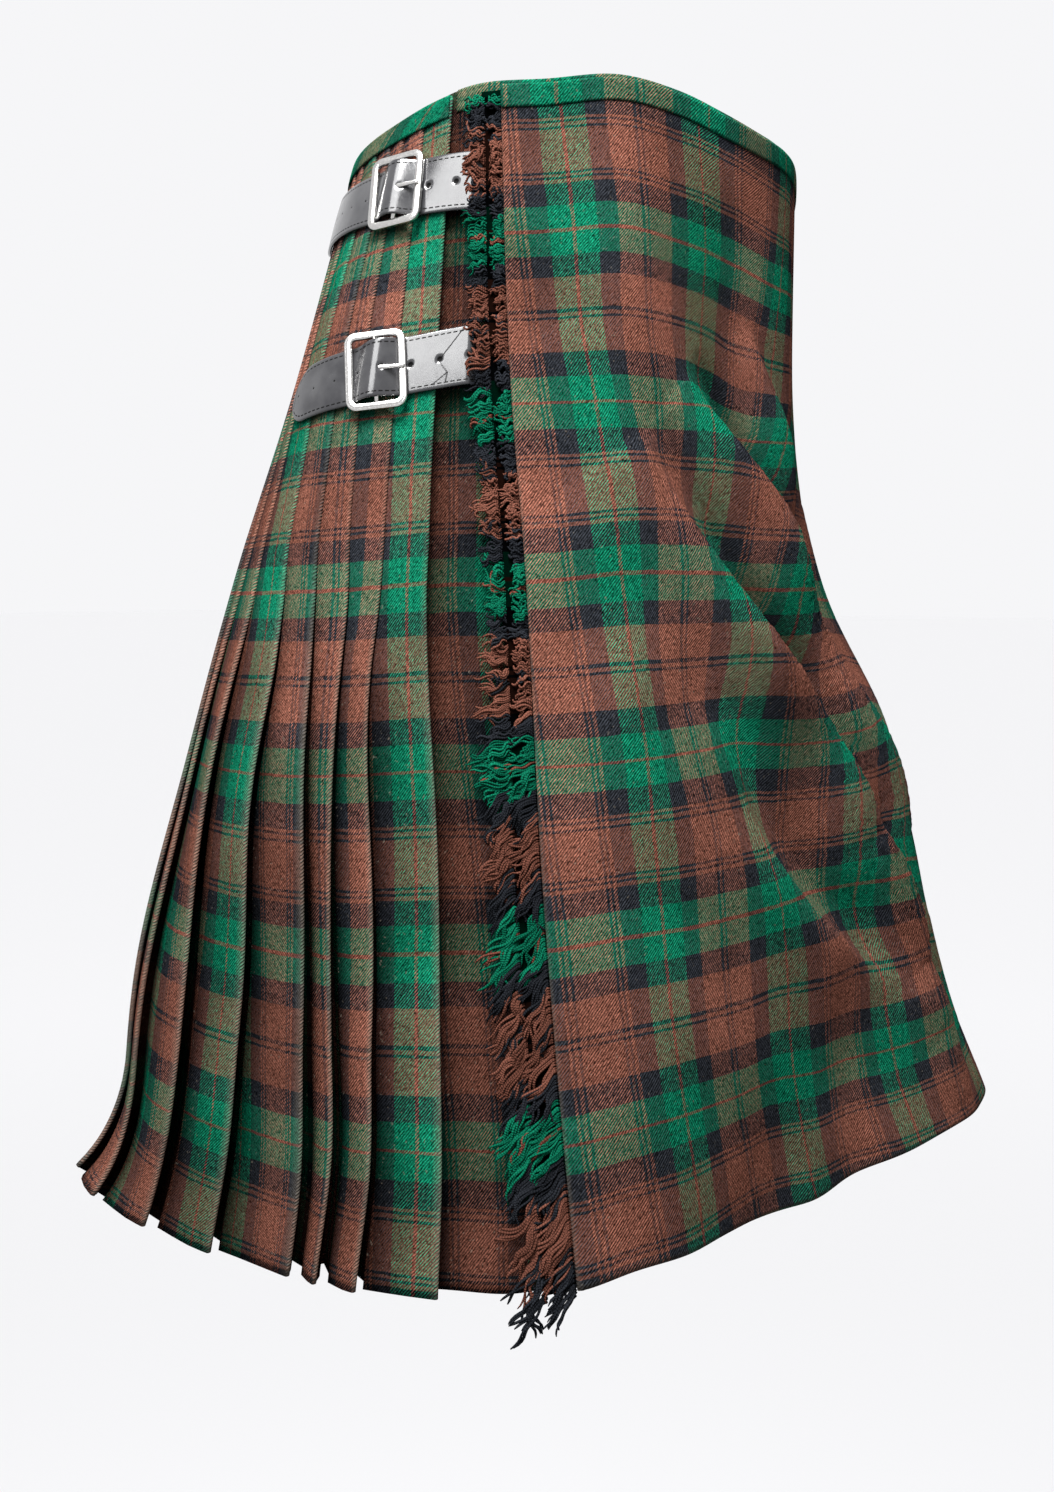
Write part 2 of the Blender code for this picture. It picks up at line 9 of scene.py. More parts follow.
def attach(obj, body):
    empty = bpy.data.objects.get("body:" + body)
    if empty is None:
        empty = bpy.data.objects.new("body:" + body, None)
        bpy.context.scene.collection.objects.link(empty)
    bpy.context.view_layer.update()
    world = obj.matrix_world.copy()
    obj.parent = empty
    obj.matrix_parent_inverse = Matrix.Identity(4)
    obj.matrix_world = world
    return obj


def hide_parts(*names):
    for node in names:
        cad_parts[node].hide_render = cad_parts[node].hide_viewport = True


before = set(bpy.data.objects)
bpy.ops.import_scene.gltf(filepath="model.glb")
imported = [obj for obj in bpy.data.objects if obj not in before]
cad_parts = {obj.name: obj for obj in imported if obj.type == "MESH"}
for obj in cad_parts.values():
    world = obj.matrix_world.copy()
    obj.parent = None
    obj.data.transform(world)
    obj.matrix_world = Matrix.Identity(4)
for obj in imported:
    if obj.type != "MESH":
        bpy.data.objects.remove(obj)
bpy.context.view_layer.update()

# ==== Over apron ==============================================================
# The flat front panel of a wrap-over kilt, cut from checked wool twill with the
# hem on the selvedge.  Its straight edge is turned and stitched, its other edge
# folds at the left hip, and it hangs from the waist in long diagonal folds.

# Places on the cloth are an azimuth in degrees (0 at the front, 90 at the
# wearer's left) and a drop, the length down the cloth from its top edge.
DROP = 0.610              # waist to hem
CLOTH = 0.0012            # thickness of the wool
WAIST_SIDE = 0.158        # half the waist, from side to side
WAIST_FRONT = 0.129       # half the waist, from front to back
FORM_DROPS = (0.14, 0.25, 0.36, 0.48, 0.61)
FORM_ROWS = (             # azimuth, lift of the top edge, then radii in mm at FORM_DROPS
    (-170, -9, 168, 195, 222, 247, 272),
    (-150, -7, 173, 199, 228, 254, 270),
    (-125, -10, 183, 216, 244, 271, 280),
    (-100, -7, 197, 218, 243, 241, 240),
    (-80, 4, 172, 188, 199, 211, 226),
    (-65, 5, 162, 172, 181, 193, 214),
    (-50, 10, 161, 167, 176, 181, 190),
    (-35, 7, 145, 152, 160, 164, 167),
    (-20, 2, 132, 146, 156, 160, 149),
    (-5, 0, 133, 143, 149, 162, 153),
    (10, 1, 134, 133, 168, 170, 173),
    (25, 1, 131, 127, 181, 211, 229),
    (45, -5, 143, 158, 203, 226, 277),
    (70, 0, 174, 192, 217, 246, 272),
    (100, 0, 188, 212, 238, 262, 286),
    (130, -3, 180, 206, 233, 260, 284),
    (155, -7, 171, 198, 225, 251, 277),
)
KICKS = (                 # where the hem kicks out: azimuth, spread, first drop and reach
    (229.0, 9.0, 0.535, 0.024),
    (160.0, 8.0, 0.540, 0.007),
    (104.0, 7.0, 0.530, 0.008),
)
APRON_EDGE = (            # drop and azimuth of the straight edge
    (0.0, -74.0), (0.05, -73.1), (0.10, -72.2), (0.165, -70.6), (0.25, -67.7), (0.42, -64.0),
    (0.61, -58.6),
)
APRON_FOLD_AZ = 68.0      # azimuth of the fold at the left hip
# Each soft fold: its height, its soft and steep sides, how far it leans over the
# steep side, the hollow beyond it, then its crest as azimuths and drops.
FOLDS = (
    (0.0215, 0.034, 0.0085, 0.0080, 0.0120,
     ((-49, 0.193), (-40, 0.231), (-30, 0.265), (-20, 0.295), (-8, 0.325), (1, 0.361),
      (9, 0.405), (16, 0.445), (25, 0.500))),
    (0.0165, 0.028, 0.0080, 0.0075, 0.0110,
     ((-38, 0.157), (-29, 0.177), (-22, 0.194), (-14, 0.216), (-5, 0.246), (8, 0.297),
      (22, 0.358), (36, 0.422))),
    (0.0075, 0.020, 0.0075, 0.0030, 0.0020,
     ((-14, 0.114), (-6, 0.150), (1, 0.180), (8, 0.219), (15, 0.252))),
    (0.0095, 0.026, 0.0100, 0.0045, 0.0055,
     ((-38, 0.330), (-31, 0.362), (-23, 0.403), (-10, 0.440), (2, 0.471), (13, 0.507),
      (24, 0.548))),
    (0.0090, 0.022, 0.0085, 0.0035, 0.0060,
     ((11, 0.410), (17, 0.459), (23, 0.522), (29, 0.600))),
    (0.0060, 0.030, 0.0160, 0.0000, 0.0015,
     ((52, 0.200), (46, 0.340), (50, 0.560))),
)
FOLD_ROUND = 0.165        # radius that turns a crest's degrees into metres
FOLD_END = 0.012          # how far a fold runs on past the ends of its crest
HOLLOW_AT, HOLLOW_HALF = 2.3, 1.3         # the hollow beyond it, in widths of its steep side
CREST_STEPS = 61
AZ_STEP = 0.5             # the hanging form is kept on a grid of azimuths and drops
DROP_STEP = 0.0025
GRID_AZ = np.arange(-180, 540 + AZ_STEP, AZ_STEP)
GRID_V = np.arange(-0.01, 0.67, DROP_STEP)


def smooth(x):
    """From 0 to 1 with soft ends as x goes from 0 to 1, and flat outside."""
    x = np.clip(x, 0.0, 1.0)
    return x * x * (3 - 2 * x)


def bell(x, middle, width, power=2):
    """1 in the middle, falling away on both sides."""
    return np.exp(-(np.abs(x - middle) / width)**power)


def unit(vectors):
    """Vectors scaled to a length of 1."""
    return vectors / np.linalg.norm(vectors, axis=-1, keepdims=True)


def curve_through(xs, ys, x):
    """A smooth curve through points, straight beyond its ends."""
    xs = np.asarray(xs, float)
    ys = np.asarray(ys, float)
    slope = np.diff(ys) / np.diff(xs)
    tangent = np.concatenate([slope[:1], (slope[1:] + slope[:-1]) / 2, slope[-1:]])
    i = np.clip(np.searchsorted(xs, x) - 1, 0, len(xs) - 2)
    width = xs[i + 1] - xs[i]
    t = (x - xs[i]) / width
    inside = ((2 * t**3 - 3 * t**2 + 1) * ys[i] + (t**3 - 2 * t**2 + t) * width * tangent[i]
              + (3 * t**2 - 2 * t**3) * ys[i + 1] + (t**3 - t**2) * width * tangent[i + 1])
    before = ys[0] + (x - xs[0]) * tangent[0]
    after = ys[-1] + (x - xs[-1]) * tangent[-1]
    return np.where(x < xs[0], before, np.where(x > xs[-1], after, inside))


def read_table(table, x):
    """The other columns of a table at values of its first one."""
    known, *columns = zip(*table)
    return np.array([curve_through(known, column, x) for column in columns]).T


def round_curve(azimuths, values, az):
    """A smooth closed curve round the waist."""
    xs = np.concatenate([[azimuths[-1] - 360], azimuths, [azimuths[0] + 360]])
    ys = np.concatenate([[values[-1]], values, [values[0]]])
    return curve_through(xs, ys, az)


def fold_rise(az, drop, fold):
    """Lift and lean of the cloth in one soft fold, and the direction of its crest."""
    high, soft, steep, lean, hollow, crest = fold
    t = np.linspace(0, 1, CREST_STEPS)
    crest_az, crest_drop = read_table([(end, *spot) for end, spot in
                                       zip(np.linspace(0, 1, len(crest)), crest)], t).T
    line = np.stack([np.radians(crest_az) * FOLD_ROUND, crest_drop], -1)
    run = unit(np.gradient(line, axis=0))
    here = np.stack([np.radians(az) * FOLD_ROUND, drop], -1)
    nearest = np.zeros(az.shape, int)
    distance = np.full(az.shape, 1e9)
    for k, point in enumerate(line):
        apart = np.linalg.norm(here - point, axis=-1)
        closer = apart < distance
        nearest[closer] = k
        distance[closer] = apart[closer]
    apart = here - line[nearest]
    along = run[nearest]
    across = along[..., 1] * apart[..., 0] - along[..., 0] * apart[..., 1]
    past = along[..., 0] * apart[..., 0] + along[..., 1] * apart[..., 1]
    taper = np.sin(pi * t[nearest])**0.7 * bell(past, 0, FOLD_END)
    rise = bell(across, 0, np.where(across < 0, soft, steep)) * taper
    beyond = bell(across, HOLLOW_AT * steep, HOLLOW_HALF * steep) * taper
    return high * rise - hollow * beyond, lean * rise, along


def hang_cloth(folds):
    """Places and outward directions of the hanging cloth on the grid."""
    azimuths, lifts, *radii = np.array(FORM_ROWS, float).T
    az = (GRID_AZ + 180) % 360 - 180
    a = np.radians(az)
    waist = WAIST_SIDE * WAIST_FRONT / np.sqrt((WAIST_FRONT * np.sin(a))**2
                                               + (WAIST_SIDE * np.cos(a))**2)
    rings = np.array([waist] + [round_curve(azimuths, ring / 1000, az) for ring in radii])
    radius = np.array([curve_through((0.0,) + FORM_DROPS, ring, GRID_V) for ring in rings.T]).T
    for middle, spread, start, reach in KICKS:
        swing = bell((GRID_AZ - middle + 180) % 360 - 180, 0, spread)
        opening = np.clip((GRID_V - start) / (DROP - start), 0, 1.3)**2
        radius = radius + reach * opening[:, None] * swing[None, :]
    slope = np.gradient(radius, DROP_STEP, axis=0)
    height = -np.cumsum(np.sqrt(np.clip(1 - slope**2, 0.3, 1)), axis=0) * DROP_STEP
    top = int(round(-GRID_V[0] / DROP_STEP))
    height = height - height[top] + round_curve(azimuths, lifts / 1000, az)
    grid_az, grid_v = np.meshgrid(az, GRID_V)
    leans = []
    for fold in folds:
        lift_here, lean_here, run = fold_rise(grid_az, grid_v, fold)
        radius = radius + lift_here
        leans.append((lean_here, run))
    a = np.radians(GRID_AZ)
    points = np.stack([radius * np.sin(a), -radius * np.cos(a), height], -1)
    along_cloth = unit(np.gradient(points, axis=1))
    down_cloth = unit(np.gradient(points, axis=0))
    for lean_here, run in leans:
        over_steep = along_cloth * run[..., 1:] - down_cloth * run[..., :1]
        points = points + over_steep * lean_here[..., None]
    return points, unit(np.cross(np.gradient(points, axis=0), np.gradient(points, axis=1)))


def sample(grid, az, drop):
    """Value of a grid at azimuths and drops, by bilinear blending."""
    row, column = np.broadcast_arrays((np.asarray(drop, float) - GRID_V[0]) / DROP_STEP,
                                      (np.asarray(az, float) + 180) / AZ_STEP)
    i = np.clip(row.astype(int), 0, len(GRID_V) - 2)
    j = np.clip(column.astype(int), 0, len(GRID_AZ) - 2)
    s = (row - i)[..., None]
    t = (column - j)[..., None]
    return ((grid[i, j] * (1 - t) + grid[i, j + 1] * t) * (1 - s)
            + (grid[i + 1, j] * (1 - t) + grid[i + 1, j + 1] * t) * s)


def place(form, az, drop, depth):
    """A place on the cloth, moved in from its face line by a depth."""
    points, outward = form
    inward = -unit(sample(outward, az, drop))
    return sample(points, az, drop) + inward * np.asarray(depth)[..., None]


def both_sides(form, az, drop, depth):
    """The two sides of a cloth whose middle lies at a depth."""
    return [place(form, az, drop, depth + side) for side in (-CLOTH / 2, CLOTH / 2)]


def apron_edge(drop):
    """Azimuth of the over apron's straight edge."""
    return curve_through(*zip(*APRON_EDGE), drop)


PLAIN = hang_cloth(())    # the form that the pleats, bands, straps and fringe lie on
DRAPED = hang_cloth(FOLDS)

# The check: widths in mm of the yarns in one repeat, the same in warp and weft.
REPEAT = 0.181
CHECK = (
    ("green", 12.6), ("red", 1.8), ("green", 12.6), ("black", 12.5),
    ("rust", 17.7), ("black", 1.7), ("rust", 2.2), ("black", 1.7), ("rust", 17.7), ("black", 12.5),
    ("green", 12.6), ("red", 1.8), ("green", 12.6), ("black", 12.5),
    ("rust", 1.7), ("black", 1.4), ("rust", 1.7), ("black", 1.4), ("rust", 23.6),
    ("black", 1.4), ("rust", 1.7), ("black", 1.4), ("rust", 1.7), ("black", 12.5),
)
YARN_COLOURS = {          # dyed wool, linear light
    "green": (0.0014, 0.0405, 0.0218),
    "black": (0.0056, 0.0062, 0.0076),
    "rust": (0.0515, 0.0196, 0.0134),
    "red": (0.0500, 0.0165, 0.0115),
}
PALE_WOOL = (0.062, 0.053, 0.042, 1)      # flecks and rubbed edges
DIAGONAL = 0.0018         # one repeat of the twill along the weft
DRIFT = 0.0011            # how far the stripes' edges wander
WARP_SHARE = 0.31         # how much of the warp shows halfway up the twill's wave
NAP = (260.0, 1000.0)     # strokes of the nap in a metre, along the twill and across it


class Flow:
    """A value that runs through a finish's nodes; sums on it add the nodes that do them."""

    def __init__(self, tree, socket):
        self.tree, self.socket = tree, socket

    def maths(self, operation, *others, clamp=False):
        return wire(self.tree, "Math", dict(enumerate((self, *others))), operation=operation,
                    use_clamp=clamp)

    def __add__(self, other):
        return self.maths("ADD", other)

    def __sub__(self, other):
        return self.maths("SUBTRACT", other)

    def __mul__(self, other):
        return self.maths("MULTIPLY", other)

    def __truediv__(self, other):
        return self.maths("DIVIDE", other)

    def ranged(self, low, high, to_low, to_high, **settings):
        """The value taken from one range to another and held at its ends."""
        return wire(self.tree, "MapRange", {"Value": self, "From Min": low, "From Max": high,
                                            "To Min": to_low, "To Max": to_high}, **settings)

    def mix(self, first, second):
        """One colour where the value is 0 and the other where it is 1."""
        return wire(self.tree, "Mix", {0: self, 6: first, 7: second}, 2, data_type="RGBA")

    def shaded(self, strength):
        """The colour made lighter or darker by a strength."""
        grey = wire(self.tree, "CombineXYZ", {0: strength, 1: strength, 2: strength})
        return wire(self.tree, "Mix", {0: 1.0, 6: self, 7: grey}, 2, data_type="RGBA",
                    blend_type="MULTIPLY")

    def noise(self, scale, detail=2.0, **more):
        return wire(self.tree, "TexNoise", {"Vector": self, "Scale": scale, "Detail": detail,
                                            **more})

    def bump(self, strength, distance):
        return wire(self.tree, "Bump", {"Height": self, "Strength": strength,
                                        "Distance": distance})


def fit(node, inputs):
    """Links or sets the inputs of a node."""
    for key, value in inputs.items():
        if isinstance(value, Flow):
            value.tree.links.new(value.socket, node.inputs[key])
        else:
            node.inputs[key].default_value = value


def wire(tree, kind, inputs, output=0, **settings):
    """What comes out of a new shader node with its settings and inputs."""
    node = tree.nodes.new("ShaderNode" + kind)
    for key, value in settings.items():
        setattr(node, key, value)
    fit(node, inputs)
    return Flow(tree, node.outputs[output])


def attribute(tree, name):
    return wire(tree, "Attribute", {}, "Fac", attribute_name=name)


def cut_place(tree):
    """The two lengths that say where a point lies in the cut piece."""
    cut = wire(tree, "UVMap", {}, uv_map="cut")
    return [wire(tree, "SeparateXYZ", {0: cut}, k) for k in (0, 1)]


def yarn_bands(along):
    """Colour of the yarn at a length across the stripes."""
    bands = wire(along.tree, "ValToRGB", {"Fac": (along / REPEAT).maths("FRACT")})
    ramp = bands.socket.node.color_ramp
    ramp.interpolation = "CONSTANT"
    stops = ramp.elements
    done = 0.0
    for k, (yarn, width) in enumerate(CHECK):
        stop = stops[k] if k < 2 else stops.new(done)
        stop.position = done
        stop.color = (*YARN_COLOURS[yarn], 1)
        done += width / 1000 / REPEAT
    return bands


def new_material(name):
    """A material, its nodes, its shader and the place of a point on its piece."""
    made = bpy.data.materials.new(name)
    made.use_nodes = True
    tree = made.node_tree
    return made, tree, tree.nodes["Principled BSDF"], wire(tree, "TexCoord", {}, "Object")


def wool_check(name):
    """Checked 2/2 twill: pale with wear where "tone_wear_and_shade" is over 0, darker where it is
    under 0: painted shade in recesses and folds, and a plain darkening at the waist and bands.
    """
    made, tree, shader, spot = new_material(name)
    along, down = cut_place(tree)
    drift = (spot.noise(140.0) - 0.5) * DRIFT
    warp, weft = yarn_bands(along + drift), yarn_bands(down + drift)
    turn, slant = along + down, along - down
    wave = (turn * (2 * pi / DIAGONAL)).maths("SINE")
    strokes = wire(tree, "CombineXYZ", {0: slant * NAP[0], 1: turn * NAP[1]}).noise(1.0)
    fuzz = (strokes + spot.noise(900.0, 3.0, Roughness=0.65)) * 0.5
    rough_wave = (fuzz - 0.5) * 3.6 + wave
    over = (rough_wave * 0.47).maths("ADD", WARP_SHARE, clamp=True)
    tone_wear_and_shade = attribute(tree, "tone_wear_and_shade")
    shade = fuzz.ranged(0.36, 0.64, 0.12, 1.92)
    # relief: painted light and shade along the twill's diagonal ridges, on top of their bump
    relief = wave.ranged(-1.0, 1.0, 0.54, 1.42)
    fade = spot.noise(22.0, 4.0).ranged(0.3, 0.7, 0.80, 1.22)
    # darker where the number is under 0: painted shade in recesses and folds, plain darkening at
    # the waist and bands
    darkened = tone_wear_and_shade.ranged(-1.0, 0.0, 0.15, 1.0)
    woven = over.mix(weft, warp).shaded(shade * relief * (fade * darkened))
    fleck = spot.noise(520.0, 1.0).ranged(0.67, 0.80, 0.0, 0.38)
    pale = fleck.maths("MAXIMUM", tone_wear_and_shade * fuzz * 0.85)
    fit(shader, {
        "Base Color": pale.mix(woven, PALE_WOOL),
        "Roughness": fuzz.ranged(0.0, 1.0, 0.80, 0.98),
        "Normal": (fuzz * 2.2 + wave * 0.5).bump(0.7, 0.00035),
        "Specular IOR Level": 0.0,
    })
    return made


def give_cut(mesh, places):
    """Gives each point of a mesh its place in the cut piece."""
    corner = np.zeros(len(mesh.loops), np.int32)
    mesh.loops.foreach_get("vertex_index", corner)
    layer = mesh.uv_layers.new(name="cut")
    layer.uv.foreach_set("vector", places.reshape(-1, 2)[corner].astype(np.float32).ravel())


def give_number(mesh, name, values):
    """Gives each point of a mesh a number that its finish reads."""
    layer = mesh.attributes.new(name, "FLOAT", "POINT")
    layer.data.foreach_set("value", values.astype(np.float32).ravel())


def new_piece(name, mesh, finish):
    mesh.materials.append(finish)
    made = bpy.data.objects.new(name, mesh)
    bpy.context.scene.collection.objects.link(made)
    return made


def cloth_shell(name, face, back, cut, finish, tone_wear_and_shade):
    """A closed shell of cloth between two grids of places, rows down and columns along."""
    rows, columns = face.shape[:2]
    index = np.arange(rows * columns).reshape(rows, columns)
    other = index + rows * columns

    def quads(a, b, c, d):
        return np.stack([a, b, c, d], -1).reshape(-1, 4)

    sides = [
        quads(index[:-1, :-1], index[1:, :-1], index[1:, 1:], index[:-1, 1:]),
        quads(other[:-1, :-1], other[:-1, 1:], other[1:, 1:], other[1:, :-1]),
    ]
    rims = [
        quads(index[0, :-1], index[0, 1:], other[0, 1:], other[0, :-1]),
        quads(index[-1, 1:], index[-1, :-1], other[-1, :-1], other[-1, 1:]),
        quads(index[1:, 0], index[:-1, 0], other[:-1, 0], other[1:, 0]),
        quads(index[:-1, -1], index[1:, -1], other[1:, -1], other[:-1, -1]),
    ]
    corners = np.concatenate(sides + rims)
    mesh = bpy.data.meshes.new(name)
    mesh.from_pydata(np.concatenate([face, back]).reshape(-1, 3).tolist(), [], corners.tolist())
    give_cut(mesh, np.concatenate([cut, cut]))
    give_number(mesh, "tone_wear_and_shade", np.concatenate([tone_wear_and_shade, tone_wear_and_shade]))
    soft = np.arange(len(corners)) < len(sides[0]) * 2
    mesh.polygons.foreach_set("use_smooth", soft)
    return new_piece(name, mesh, finish)


def lengths_along(grid):
    """Length along each row of a grid of places, from its first column."""
    step = np.linalg.norm(np.diff(grid, axis=1), axis=-1)
    return np.concatenate([np.zeros((len(grid), 1)), np.cumsum(step, axis=1)], axis=1)


WEFT_SCALE = 1.0134       # length of check for a length down the cloth
EASE_FROM = 0.13          # below this drop there is this much less of it
WEFT_EASE = 0.031


def weft_place(drop, first_green):
    """Where a drop falls in the weft's repeat, with its first green so far down."""
    return (drop - first_green) * WEFT_SCALE - WEFT_EASE * np.maximum(drop - EASE_FROM, 0)


wool = wool_check("checked_wool")

APRON_COLUMNS = 226
SEEN_COLUMNS, SEEN_SHARE = 0.87, 0.74     # closer columns over the part that shows most
EDGE_ROLL = 0.0011        # the turned edge beside the fringe rounds down by this much
STITCH_IN = 0.0032        # its line of stitches is this far in, and sinks this deep
STITCH_DIP = 0.00035
HIP_TUCK = 0.0030         # how far the fold at the hip turns under
HEM_WAVES = ((0.0010, 46, 0.0), (0.0007, 101, 1.3))      # height, rate and start
RUB = 0.5                 # how pale the turned edge and the hem are rubbed
TOP_DARKENING = 0.20           # how much darker the cloth is near the waist
apron_drops = np.concatenate([np.linspace(0, 0.57, 172), np.linspace(0.573, DROP, 14)])
share_along = np.interp(np.linspace(0, 1, APRON_COLUMNS), (0, SEEN_COLUMNS, 1),
                        (0, SEEN_SHARE, 1))
edge_line = apron_edge(apron_drops)[:, None]
apron_az = edge_line + share_along[None, :] * (APRON_FOLD_AZ - edge_line)
apron_v = np.broadcast_to(apron_drops[:, None], apron_az.shape)
from_edge = lengths_along(place(DRAPED, apron_az, apron_v, np.zeros_like(apron_az)))
to_fold = from_edge[:, -1:] - from_edge
turned = EDGE_ROLL * bell(from_edge, 0, 0.0012) + STITCH_DIP * bell(from_edge, STITCH_IN, 0.0007)
tucked = HIP_TUCK * bell(to_fold, 0, 0.0022, 1.6)
hem_wave = sum(high * np.sin(from_edge * rate + start) for high, rate, start in HEM_WAVES)
apron_depth = turned + tucked - hem_wave * smooth((apron_v - 0.50) / 0.11)
apron_face, apron_back = both_sides(DRAPED, apron_az, apron_v, apron_depth)
# Drops, and the place in the check at the cut edge there.
EDGE_CUT = ((0.0, 0.07, 0.16, 0.26, 0.35, 0.44, 0.53, 0.61),
            (-0.0210, -0.0240, -0.0335, -0.0390, -0.0469, -0.0530, -0.0550, -0.0570))
# Where lengthwise stripes lie on the hung cloth, which its folds take up
# unevenly: places in the repeat in mm, then a drop and their azimuths there.
STRIPES = (13.5, 39.5, 60, 80.5, 93, 106.5, 120, 136.4, 164.6, 194.5)
STRIPE_ROWS = (
    (0.027, -61.8, -52.9, -46.1, -39.3, -35.1, -29.8, -23.2, -15.4, -0.7, 11.0),
    (0.080, -59.6, -50.9, -45.1, -38.8, -34.1, -28.5, -22.4, -15.4, -4.6, 4.3),
    (0.130, -58.2, -50.7, -45.1, -39.6, -35.9, -30.9, -25.4, -18.6, -10.6, -1.5),
    (0.170, -55.8, -49.2, -43.4, -38.0, -35.6, -31.7, -26.0, -19.6, -12.4, -3.0),
    (0.205, -54.0, -46.6, -43.2, -37.6, -34.6, -30.9, -27.0, -21.7, -14.4, -6.0),
    (0.265, -51.4, -45.2, -40.4, -35.2, -32.8, -29.4, -25.0, -20.1, -14.4, -7.5),
    (0.300, -49.9, -44.4, -39.6, -34.6, -31.0, -27.3, -23.4, -19.0, -13.0, -4.7),
    (0.350, -47.4, -42.0, -37.6, -34.0, -31.2, -26.2, -21.6, -15.2, -6.5, 0.5),
    (0.400, -46.0, -37.6, -33.0, -28.9, -27.2, -24.0, -18.3, -11.6, -3.5, 3.0),
    (0.440, -44.5, -36.5, -30.9, -25.4, -22.2, -18.4, -14.6, -9.0, 0.1, 6.0),
    (0.475, -43.4, -35.4, -29.9, -23.7, -19.7, -14.4, -9.3, -4.6, 4.2, 10.0),
    (0.510, -41.8, -34.0, -28.2, -22.0, -18.0, -12.1, -6.2, 0.0, 7.9, 12.6),
    (0.540, -40.1, -32.4, -25.9, -19.6, -15.1, -9.1, -3.8, 3.2, 10.6, 14.9),
    (0.575, -37.9, -29.3, -21.6, -15.1, -10.8, -4.7, 0.4, 6.0, 12.8, 17.2),
)
BEYOND_STRIPES = 1.05     # length of check for a length of cloth past the last of them
CALMING = 4               # passes that even out the stripes' widths
stripe_az = read_table(STRIPE_ROWS, apron_drops)
apron_cut_along = np.zeros_like(apron_az)
for i, edge_place in enumerate(curve_through(*EDGE_CUT, apron_drops)):
    known_az = np.concatenate([edge_line[i], stripe_az[i]])
    known_place = np.concatenate([[edge_place], np.array(STRIPES) / 1000])
    apron_cut_along[i] = np.interp(apron_az[i], known_az, known_place)
    beyond_last = from_edge[i] - np.interp(known_az[-1], apron_az[i], from_edge[i])
    apron_cut_along[i] += BEYOND_STRIPES * np.maximum(beyond_last, 0)
for _ in range(CALMING):
    apron_cut_along[:, 1:-1] += (apron_cut_along[:, :-2] - 2 * apron_cut_along[:, 1:-1]
                                 + apron_cut_along[:, 2:]) / 4
SAG_AZ = (-64, -50, -36, -26, -16, -6, 3, 14, 24)
SAG_ROWS = (              # drop, then how far the crosswise stripes sag there, in mm
    (0.000, 0.0, 1.0, 1.0, 0.0, 0.0, 1.0, 2.0, 2.0, 2.0),
    (0.080, -0.5, 2.0, 2.0, 0.0, 0.0, 3.0, 5.0, 5.0, 5.0),
    (0.172, -3.0, 1.5, -1.5, -1.0, 4.0, 5.0, 5.0, 5.0, 5.0),
    (0.258, -0.5, 1.0, 0.0, 0.0, 1.0, 2.0, 3.0, 3.0, 3.0),
    (0.348, -1.0, 1.5, -4.0, -9.0, -8.0, -7.0, -5.0, -2.0, 0.0),
    (0.436, 0.0, 0.0, -3.0, -8.0, -12.5, -13.0, -12.0, -4.0, 0.0),
    (0.529, 0.5, 0.0, -3.0, -6.0, -10.0, -8.0, -5.0, 3.0, 7.0),
    (0.610, 0.0, 0.0, -2.0, -5.0, -8.0, -8.0, -5.0, 0.0, 4.0),
)
APRON_FIRST_GREEN = 0.0667
sag_rows = read_table(SAG_ROWS, apron_drops) / 1000
apron_sag = np.array([curve_through(SAG_AZ, row, np.clip(az, SAG_AZ[0], SAG_AZ[-1]))
                      for row, az in zip(sag_rows, apron_az)])
apron_cut = np.stack([apron_cut_along, weft_place(apron_v - apron_sag, APRON_FIRST_GREEN)], -1)
apron_worn = (RUB * bell(from_edge, 0, 0.0010) + RUB * bell(DROP - apron_v, 0, 0.0008)
              - TOP_DARKENING * (1 - smooth((apron_v - 0.09) / 0.12)))
over_apron = cloth_shell("over_apron_cloth", apron_face, apron_back, apron_cut, wool, apron_worn)
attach(over_apron, "root")
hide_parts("over_apron")

# ==== Under apron =============================================================
# The plain panel of the same wool on the other side of the wrap.  It is sewn
# behind the last pleat and lies flat under the over apron, a little shorter
# where that one hides it, so only a strip shows between pleat and fringe.
FELL = 0.240              # the pleats are stitched flat down to this drop
FOLD_PITCH = 0.0020       # spacing of the folded layers where they are stitched
HEM_PITCH = 0.0044        # their spacing at the hem
SEAM_GAP = 0.0003         # clear space between two layers of cloth
UNDER_SLACK = 0.0040      # how much deeper it lies below the fell
UNDER_SHORT = 0.016       # how much shorter it is where the over apron hides it
SHORT_AZ, SHORT_OVER = -62, 40            # the azimuth where it starts to be, and over how much
UNDER_RISE = 0.004        # how far it stands above the over apron
UNDER_END_AZ = 56.0
UNDER_IN_AZ = 1.8         # how far inside the last pleat's edge it starts, in degrees
UNDER_RIPPLE = 0.0007
BLACK_PLACE = 0.1685      # place in the check where its last black stripe begins
BLACK_IN = ((0, 0.266, 0.53, DROP), (0.013, 0.0215, 0.0355, 0.0390))   # drops, and how far in
UNDER_ADVANCE = 1.25      # length of check for a length of this cloth
UNDER_FIRST_GREEN = 0.0697
UNDER_SHADE = 0.58         # painted shade: it lies in shade, most of all inside the pleat
PLEAT_SHADE = 0.36
HIP_DROPS = (0.0, 0.20, 0.24, 0.27, 0.31, 0.40, 0.49, 0.555, 0.61)
